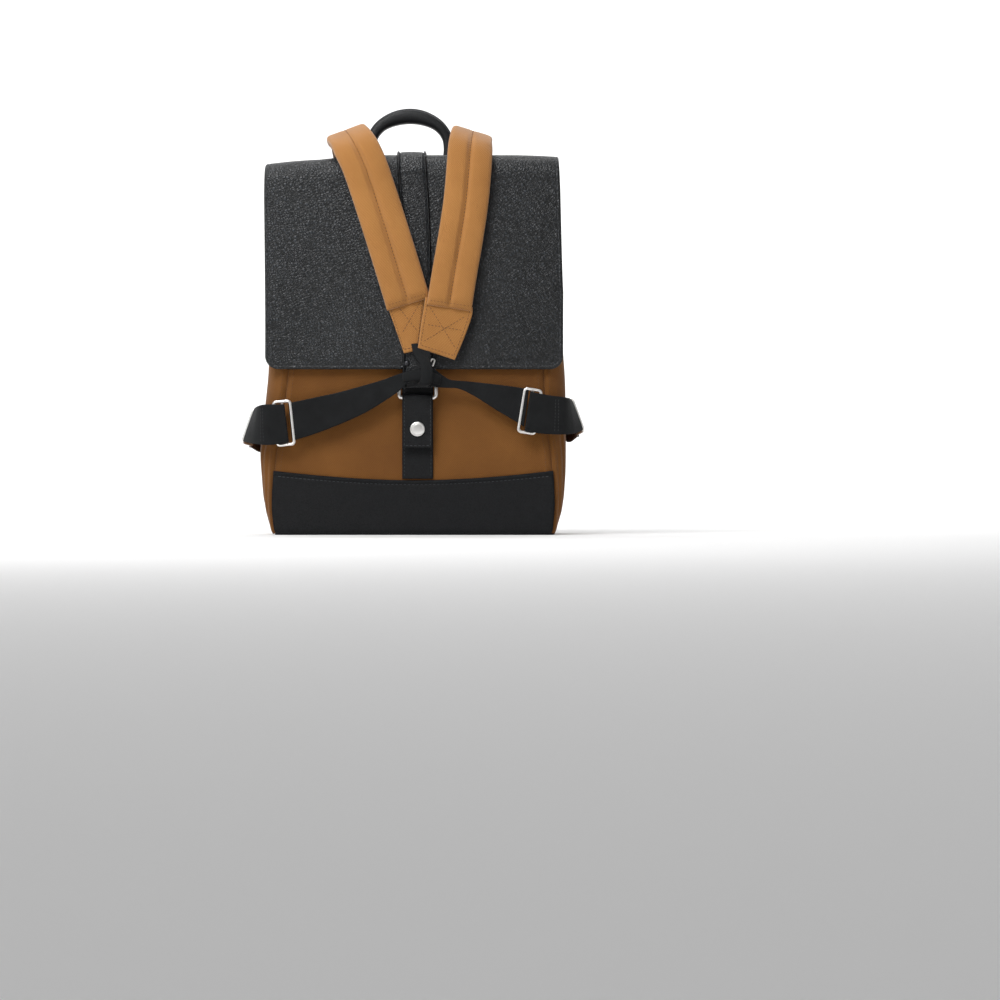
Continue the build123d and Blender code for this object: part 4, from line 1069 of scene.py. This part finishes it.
def makeSide(name, side):
    # a doubled side loop, its wire ring, and the leather tab that holds the ring
    run = sideRuns[name]
    low, high = np.array(run["low"]), np.array(run["high"])
    out = np.array([side * 0.35, -0.94, 0])
    parts = []
    for shift in (0.0, 1.9):
        part, grid, n = patchSheet(low - out * shift, high - out * shift, 110, 30, 1.5, 0.35,
                                   facing=out, rim=0.4)
        parts.append(part)
        if shift == 0.0:
            outer, outerUp = grid, n
    for column in (2, -3):
        parts.append(stitchPart(outer[3:-3, column] + outerUp[3:-3, column] * 0.7,
                                outerUp[3:-3, column], 1.5, 1.9, 0.22))
    for row in (42, 47):
        line = outer[row, 2:-2] + outerUp[row, 2:-2] * 0.7
        parts.append(stitchPart(line, outerUp[row, 2:-2], 2.4, 3.4, 0.34, material=1))
    finish("sideWebbing" + name.capitalize(), parts, [blackWebbing, threadBlack], "harness",
           ["side_webbing_" + name])
    corners = [run["front"][0], run["front"][1], run["rear"][0], run["rear"][1]]
    ring = finish("sideRingWire" + name.capitalize(), [wirePart(corners, 1.7, 4.0)], [nickel], "harness",
                  ["side_ring_" + name])
    facing = (side, 0, 0)
    tab, grid, n = patchSheet(run["tab"][0], run["tab"][1], 60, 24, 2.6, 0.3, facing=facing)
    parts = [tab]
    for line, up in ((grid[8:-3, 2], n[8:-3, 2]), (grid[8:-3, -3], n[8:-3, -3]),
                     (grid[-4, 2:-2], n[-4, 2:-2]), (grid[-16, 2:-2], n[-16, 2:-2])):
        parts.append(stitchPart(line + up * 1.25, up, 2.4, 3.4, 0.3, material=1))
    middle = (np.array(run["tab"][0][0]) + np.array(run["tab"][1][0])) / 2 + [side * -0.2, 1.0, 0]
    along = unit(np.array(run["tab"][1][0], float) - np.array(run["tab"][0][0], float))
    eye = np.stack([middle - along * 10.2, middle + along * 10.2])
    path = eye[0] + (eye[1] - eye[0]) * np.linspace(0, 1, 14)[:, None]
    parts.append(sweepPart(path, np.tile([0.0, 1.0, 0.0], (14, 1)), ringProfile(7.0, 7.0, 20, 2.0)))
    finish("sideTabLeather" + name.capitalize(), parts, [tabLeather, threadBlack], "case",
           ["side_tab_" + name])


makeSlider("left")
makeSlider("right")
makeSide("left", -1)
makeSide("right", 1)
print("side fittings made")

# the closure strap, its snap tab and the cap
closure = {"x": (-12.4, 19.4), "rear": -65.4, "front": -71.8, "fold": 144.0, "reach": 3.3,
           "tabEnd": 91.2, "base": 59.0}


def stripAlong(route, x0, x1, rows, columns, thick):
    # a straight-edged strip whose middle line is given in y and z
    line = smoothPath(route, rows)
    x = np.linspace(x0, x1, columns)
    grid = np.stack([np.broadcast_to(x, (rows, columns)), np.repeat(line[:, :1], columns, 1),
                     np.repeat(line[:, 1:], columns, 1)], axis=-1)
    n = normalsOf(grid)
    edge = np.minimum(x - x[0], x[-1] - x)[None]
    length = runLengths(line) / mm
    edge = np.minimum(edge, (length[-1] - length)[:, None])
    groove = 0.35 * np.exp(-((edge - 2.7) / 0.45) ** 2)
    body = thick * np.sqrt(np.clip(edge / 0.7, 0.15, 1)) - groove
    return body, grid, n


def makeClosure():
    # the sewn rear layer, and the snap tab folded over the ring's lower bar
    x0, x1 = closure["x"]
    rear = [(closure["rear"], closure["base"]), (closure["rear"], 100), (closure["rear"], 140),
            (-64.8, 150), (-64.8, 158)]
    body, grid, n = stripAlong(rear, x0 - 0.4, x1 + 0.4, 90, 44, 1.9)
    n = n * (1 if n[40, 20, 1] < 0 else -1)
    parts = [sheetPart(grid, body, normals=n)]
    for column in (3, -4):
        parts.append(stitchPart(grid[2:-2, column] + [0, -0.8, 0], (0, -1, 0), 2.6, 3.9, 0.3, material=1))
    finish("closureStrapLeather", parts, [baseLeather, threadGrey], "case", ["closure_strap"])
    r, middle, fold = closure["reach"], (closure["rear"] + closure["front"]) / 2, closure["fold"]
    turn = [(middle + r * math.cos(a), fold + r * math.sin(a)) for a in np.radians([0, 35, 70, 110, 145,
            180])]
    route = turn + [(closure["front"], 136), (closure["front"] - 0.3, 118), (closure["front"], 104),
                    (closure["front"], closure["tabEnd"])]
    body, grid, n = stripAlong(route, x0, x1, 120, 44, 2.0)
    n = n * (1 if n[80, 20, 1] < 0 else -1)
    parts = [sheetPart(grid, body, normals=n)]
    for column in (3, -4):
        parts.append(stitchPart(grid[18:-4, column] + n[18:-4, column] * 0.85, n[18:-4, column], 2.6,
                                3.9, 0.3, material=1))
    parts.append(stitchPart(grid[-6, 4:-4] + [0, -0.85, 0], (0, -1, 0), 2.6, 3.9, 0.3, material=1))
    tab = finish("snapTabLeather", parts, [baseLeather, threadGrey], None, ["snap_tab"])
    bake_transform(tab)


def lathePart(centre, rings, count=56):
    # turned about an axis that points out of the front; rings are (radius, height)
    a = np.linspace(0, 2 * np.pi, count, endpoint=False)
    rings = np.array(rings, float)
    grid = np.stack([rings[:, :1] * np.cos(a), np.repeat(-rings[:, 1:], count, 1),
                     rings[:, :1] * np.sin(a)], axis=-1)
    return gridPart(grid + np.array(centre, float), wrapV=True, capU=True)


def makeSnap():
    # the domed cap, the two rivet heads and the oval eyelet, all turned or bent
    low, high = nodeBox("snap_cap")
    x, z = (low[0] + high[0]) / 2, (low[2] + high[2]) / 2
    rings = [(6.9, 0), (7.6, 0.15), (7.75, 0.6), (7.5, 1.1), (6.9, 1.5), (6.3, 1.62), (5.9, 1.45),
             (5.5, 1.42), (5.1, 1.62),
             (4.0, 1.78), (2.4, 1.86), (0.6, 1.9), (0.1, 1.9)]
    parts = [lathePart((x, high[1] - 0.1, z), rings)]
    finish("snapCapDome", parts, [nickel], "tab", ["snap_cap"])
    rivets = []
    low, high = nodeBox("clasp_rivets")
    for x in (low[0] + 2.6, high[0] - 2.6):
        rivets.append(lathePart((x, high[1] - 0.2, (low[2] + high[2]) / 2),
                                [(2.0, 0), (2.7, 0.2), (2.6, 0.8), (1.9, 1.3), (0.9, 1.55), (0.1, 1.6)],
                                28))
    finish("claspRivetHeads", rivets, [darkMetal], "flap", ["clasp_rivets"])
    oval = [(15.6, -74.9, 177.4), (19.4, -74.9, 176.6), (22.0, -74.9, 183.6), (18.2, -74.9, 184.6)]
    finish("claspEyelet", [wirePart(oval, 1.0, 1.9)], [nickel], "flap", [])


makeClosure()
makeSnap()
print("closure made")

# the carrying handle
handleShape = {
    "points": [(-44.6, 387.5), (-46.8, 398), (-51.0, 416), (-53.4, 428), (-51.9, 440.5), (-43.7, 452.7),
               (-28.6, 461.2), (-9.9, 464.4),
               (8.2, 461.2), (22.9, 452.7), (31.1, 440.5), (32.8, 428), (31.8, 416), (29.8, 398),
               (27.6, 387.5)],
    "y": 73.0, "radial": [(0, 11.5), (0.26, 11.0), (0.36, 14), (0.5, 19), (0.64, 14), (0.74, 11.0),
                          (1, 11.5)], "deep": 11.5,
}


def makeHandle():
    # a rounded oval carried round the arch, thickest at the top, with a sewn flange
    route = smoothPath(handleShape["points"], 200)
    path = np.stack([route[:, 0], np.full(200, handleShape["y"]), route[:, 1]], axis=1)
    share = np.linspace(0, 1, 200)
    at, size = np.array(handleShape["radial"], float).T
    radial = np.interp(share, at, size)
    radial = np.convolve(np.pad(radial, 20, mode="edge"), np.ones(41) / 41, mode="valid")
    ring = ringProfile(handleShape["deep"], 1.0, 40, 3.2)
    profile = np.repeat(ring[None], 200, axis=0)
    body = profile[..., 1] * radial[:, None]
    flange = np.clip((profile[..., 1] - 0.30) / 0.12, 0, 1)
    profile[..., 0] *= 1 - 0.42 * flange
    dome = 1 + 0.10 * np.cos(np.clip(profile[..., 1] + 0.12, -0.5, 0.5) * np.pi)
    profile[..., 0] *= dome
    profile[..., 1] = body
    parts = [sweepPart(path, np.tile([0.0, -1.0, 0.0], (200, 1)), profile)]
    t = unit(np.gradient(path, axis=0))
    n = np.cross(np.array([0.0, -1.0, 0.0]), t)
    line = path + n * (radial * 0.40)[:, None] + [0, -handleShape["deep"] * 0.30, 0]
    parts.append(stitchPart(line[4:-4], (0, -1, 0), 2.6, 3.8, 0.28, material=1))
    finish("handleLeather", parts, [edgeLeather, threadBlack], "handle", ["handle_grip", "handle_core"])


def boxPart(low, high, soft=0.8):
    # a box with softened edges, as a closed grid wrapped round its upright axis
    low, high = np.array(low, float), np.array(high, float)
    c, h = (low + high) / 2, (high - low) / 2
    a = np.linspace(0, 2 * np.pi, 48, endpoint=False)
    plan = np.stack([np.sign(np.cos(a)) * np.abs(np.cos(a)) ** 0.25,
                     np.sign(np.sin(a)) * np.abs(np.sin(a)) ** 0.25], axis=1)
    z = np.array([-1, -0.99, -0.9, -0.5, 0, 0.5, 0.9, 0.99, 1])
    inset = np.where(np.abs(z) == 1, soft, np.where(np.abs(z) == 0.99, soft * 0.35, 0))
    grid = np.stack([c[0] + plan[None, :, 0] * (h[0] - inset[:, None]),
                     c[1] + plan[None, :, 1] * (h[1] - inset[:, None]),
                     np.repeat(c[2] + z[:, None] * h[2], 48, 1)], axis=-1)
    return gridPart(grid, wrapV=True, capU=True)


def makeHandleTabs():
    for name in ("left", "right"):
    # two leather tabs, each sewn flat with a boss at its head
        low, high = nodeBox("handle_tab_" + name)
        parts = [boxPart(low, (high[0], low[1] + 2.4, high[2]), 0.6),
                 boxPart((low[0], low[1], high[2] - 6), high, 0.8)]
        y = low[1] + 2.45
        for x in (low[0] + 2.2, high[0] - 2.2):
            line = [(x, y, z) for z in np.linspace(low[2] + 2, high[2] - 8, 12)]
            parts.append(stitchPart(line, (0, 1, 0), 2.4, 3.4, 0.3, material=1))
        row = [(x, y, low[2] + 2.2) for x in np.linspace(low[0] + 2, high[0] - 2, 6)]
        parts.append(stitchPart(row, (0, 1, 0), 2.4, 3.4, 0.3, material=1))
        finish("handleTab" + name.capitalize(), parts, [edgeLeather, threadBlack], "case",
               ["handle_tab_" + name])


makeHandle()
makeHandleTabs()
print("handle made")


# mouth binding, base, seam strip and the padded divider
def planRing(z, grow, count=400):
    # the bag's outline at a height, moved outwards, with its outward direction
    s = np.linspace(-1, 7, count, endpoint=False)
    x, y = bodyPoint(s, np.full(count, float(z)))
    ring = np.stack([x, y], axis=1)
    ahead = np.roll(ring, -1, 0) - np.roll(ring, 1, 0)
    out = unit(np.stack([ahead[:, 1], -ahead[:, 0]], axis=1))
    return ring + out * grow, out


def makeBinding():
    # a rounded tape carried round the mouth
    ring, out = planRing(bodyTop, -0.4)
    path = np.concatenate([ring, np.full((len(ring), 1), bodyTop - 2.4)], axis=1)
    side = np.concatenate([out, np.zeros((len(out), 1))], axis=1)
    parts = [sweepPart(path, side, ringProfile(3.6, 7.4, 20, 3.0), closed=True)]
    line = path + side * 1.85 + [0, 0, -1.6]
    parts.append(stitchPart(line, side, 2.4, 3.4, 0.28, material=1))
    finish("mouthBindingTape", parts, [edgeLeather, threadBlack], "case", ["mouth_binding"])


def makeBase():
    # the flat base, its ends rounded off as ellipses
    half = halfDepth - 1.6
    v = np.sin(np.linspace(-np.pi / 2, np.pi / 2, 60))
    y = v * half
    ry = bagBody["depthCorner"] - 12
    rx = 12.0
    over = np.clip((np.abs(y) - (half - ry)) / ry, 0, 1)
    wide = bodyHalf - 3.5 - 1.6 - rx * (1 - np.sqrt(1 - over**2 * 0.999))
    u = np.linspace(-1, 1, 120)
    grid = np.stack([wide[:, None] * u[None], np.repeat(y[:, None], 120, 1), np.full((60, 120), 1.5)],
                    axis=-1)
    up = np.zeros_like(grid)
    up[..., 2] = 1
    parts = [sheetPart(grid, np.full((60, 120), 2.8), normals=up)]
    finish("basePanelLeather", parts, [baseLeather], "case", ["base_panel"])


def makeInside():
    # the quilted divider, and the strip that the flap is sewn to
    low, high = nodeBox("sleeve_divider")
    u, v = np.meshgrid(np.linspace(0, 1, 90), np.linspace(0, 1, 90))
    x = low[0] + u * (high[0] - low[0])
    z = low[2] + v * (high[2] - low[2])
    y = (low[1] + high[1]) / 2 + 1.2 * softNoise(x, z, 61, 90.0)
    quilt = 0.9 * np.abs(np.sin(x / 44 * np.pi)) ** 0.4
    edge = np.minimum(np.minimum(x - low[0], high[0] - x), np.minimum(z - low[2], high[2] - z))
    n = np.zeros(x.shape + (3,))
    n[..., 1] = -1
    parts = [sheetPart(np.stack([x, y, z], axis=-1), 1.2 + 2.2 * quilt * np.clip(edge / 8, 0, 1),
                       normals=n)]
    finish("sleeveDividerPad", parts, [liningCloth], "case", ["sleeve_divider"])
    low, high = nodeBox("flap_seam_strip")
    finish("flapSeamLeather", [boxPart(low, high, 0.5)], [edgeLeather], "case", ["flap_seam_strip"])


makeBinding()
makeBase()
makeInside()
print("base and inside made")

# camera, floor and light
view = {"place": (0.0901, -2.369, 0.03675), "lens": 78.86, "sensor": 36.0}


def makeCamera():
    # level and square to the bag, a little to its right and near the base's height
    camera = bpy.data.cameras.new("camera")
    camera.lens, camera.sensor_width = view["lens"], view["sensor"]
    camera.clip_end = 50
    place = bpy.data.objects.new("camera", camera)
    bpy.context.scene.collection.objects.link(place)
    place.location = view["place"]
    place.rotation_euler = (math.radians(90), 0, 0)
    bpy.context.scene.camera = place


def makeStage():
    # a pale floor that turns up into a backdrop
    y = np.concatenate([np.linspace(-3.2, 1.6, 12), 1.6 + 1.2 * np.sin(np.radians(np.linspace(8, 90, 12)))])
    z = np.concatenate([np.zeros(12), 1.2 * (1 - np.cos(np.radians(np.linspace(8, 90, 12))))])
    y, z = np.append(y, 2.8), np.append(z, 4.0)
    x = np.linspace(-4, 4, 3)
    grid = np.stack([np.broadcast_to(x[None], (len(y), 3)), np.repeat(y[:, None], 3, 1),
                     np.repeat(z[:, None], 3, 1)], axis=-1) / mm
    material, nodes, links, shader = newMaterial("paper", (0.86, 0.86, 0.86), 0.9)
    floor = makePiece("floorSweep", [gridPart(grid)], [material])


def areaLight(name, place, target, size, power, colour=(1, 1, 1)):
    # a rectangular soft light turned towards a target
    light = bpy.data.lights.new(name, "AREA")
    light.shape = "RECTANGLE"
    light.size, light.size_y = size
    light.energy = power
    light.color = colour
    lamp = bpy.data.objects.new(name, light)
    bpy.context.scene.collection.objects.link(lamp)
    lamp.location = place
    lamp.rotation_euler = (Vector(target) - Vector(place)).to_track_quat("-Z", "Y").to_euler()


makeCamera()
makeStage()
areaLight("softTop", (-0.5, -1.2, 2.2), (0, 0, 0.25), (1.4, 1.0), 20)
areaLight("softKey", (-0.5, -0.8, 1.1), (-0.06, 0, 0.34), (0.7, 0.5), 10)
areaLight("softLeft", (-2.0, -1.8, 1.0), (0, 0, 0.2), (1.4, 1.8), 9)
areaLight("softRight", (2.2, -1.4, 0.9), (0, 0, 0.2), (1.0, 1.4), 3)
areaLight("backGlow", (0, 0.9, 2.2), (0, 2.6, 0.5), (3.2, 1.0), 70)


def makeWorld(fill):
    # soft white fill on the bag, and plain white wherever the backdrop ends
    world = bpy.data.worlds.new("studio")
    bpy.context.scene.world = world
    world.use_nodes = True
    nodes, links = world.node_tree.nodes, world.node_tree.links
    seen = nodes.new("ShaderNodeLightPath").outputs["Is Camera Ray"]
    strength = mathNode(nodes, links, "MULTIPLY_ADD", seen, 1.0 - fill, fill)
    nodes["Background"].inputs[0].default_value = (1, 1, 1, 1)
    links.new(strength, nodes["Background"].inputs[1])


makeWorld(0.26)
bpy.context.scene.view_settings.view_transform = "Standard"
print("stage made")
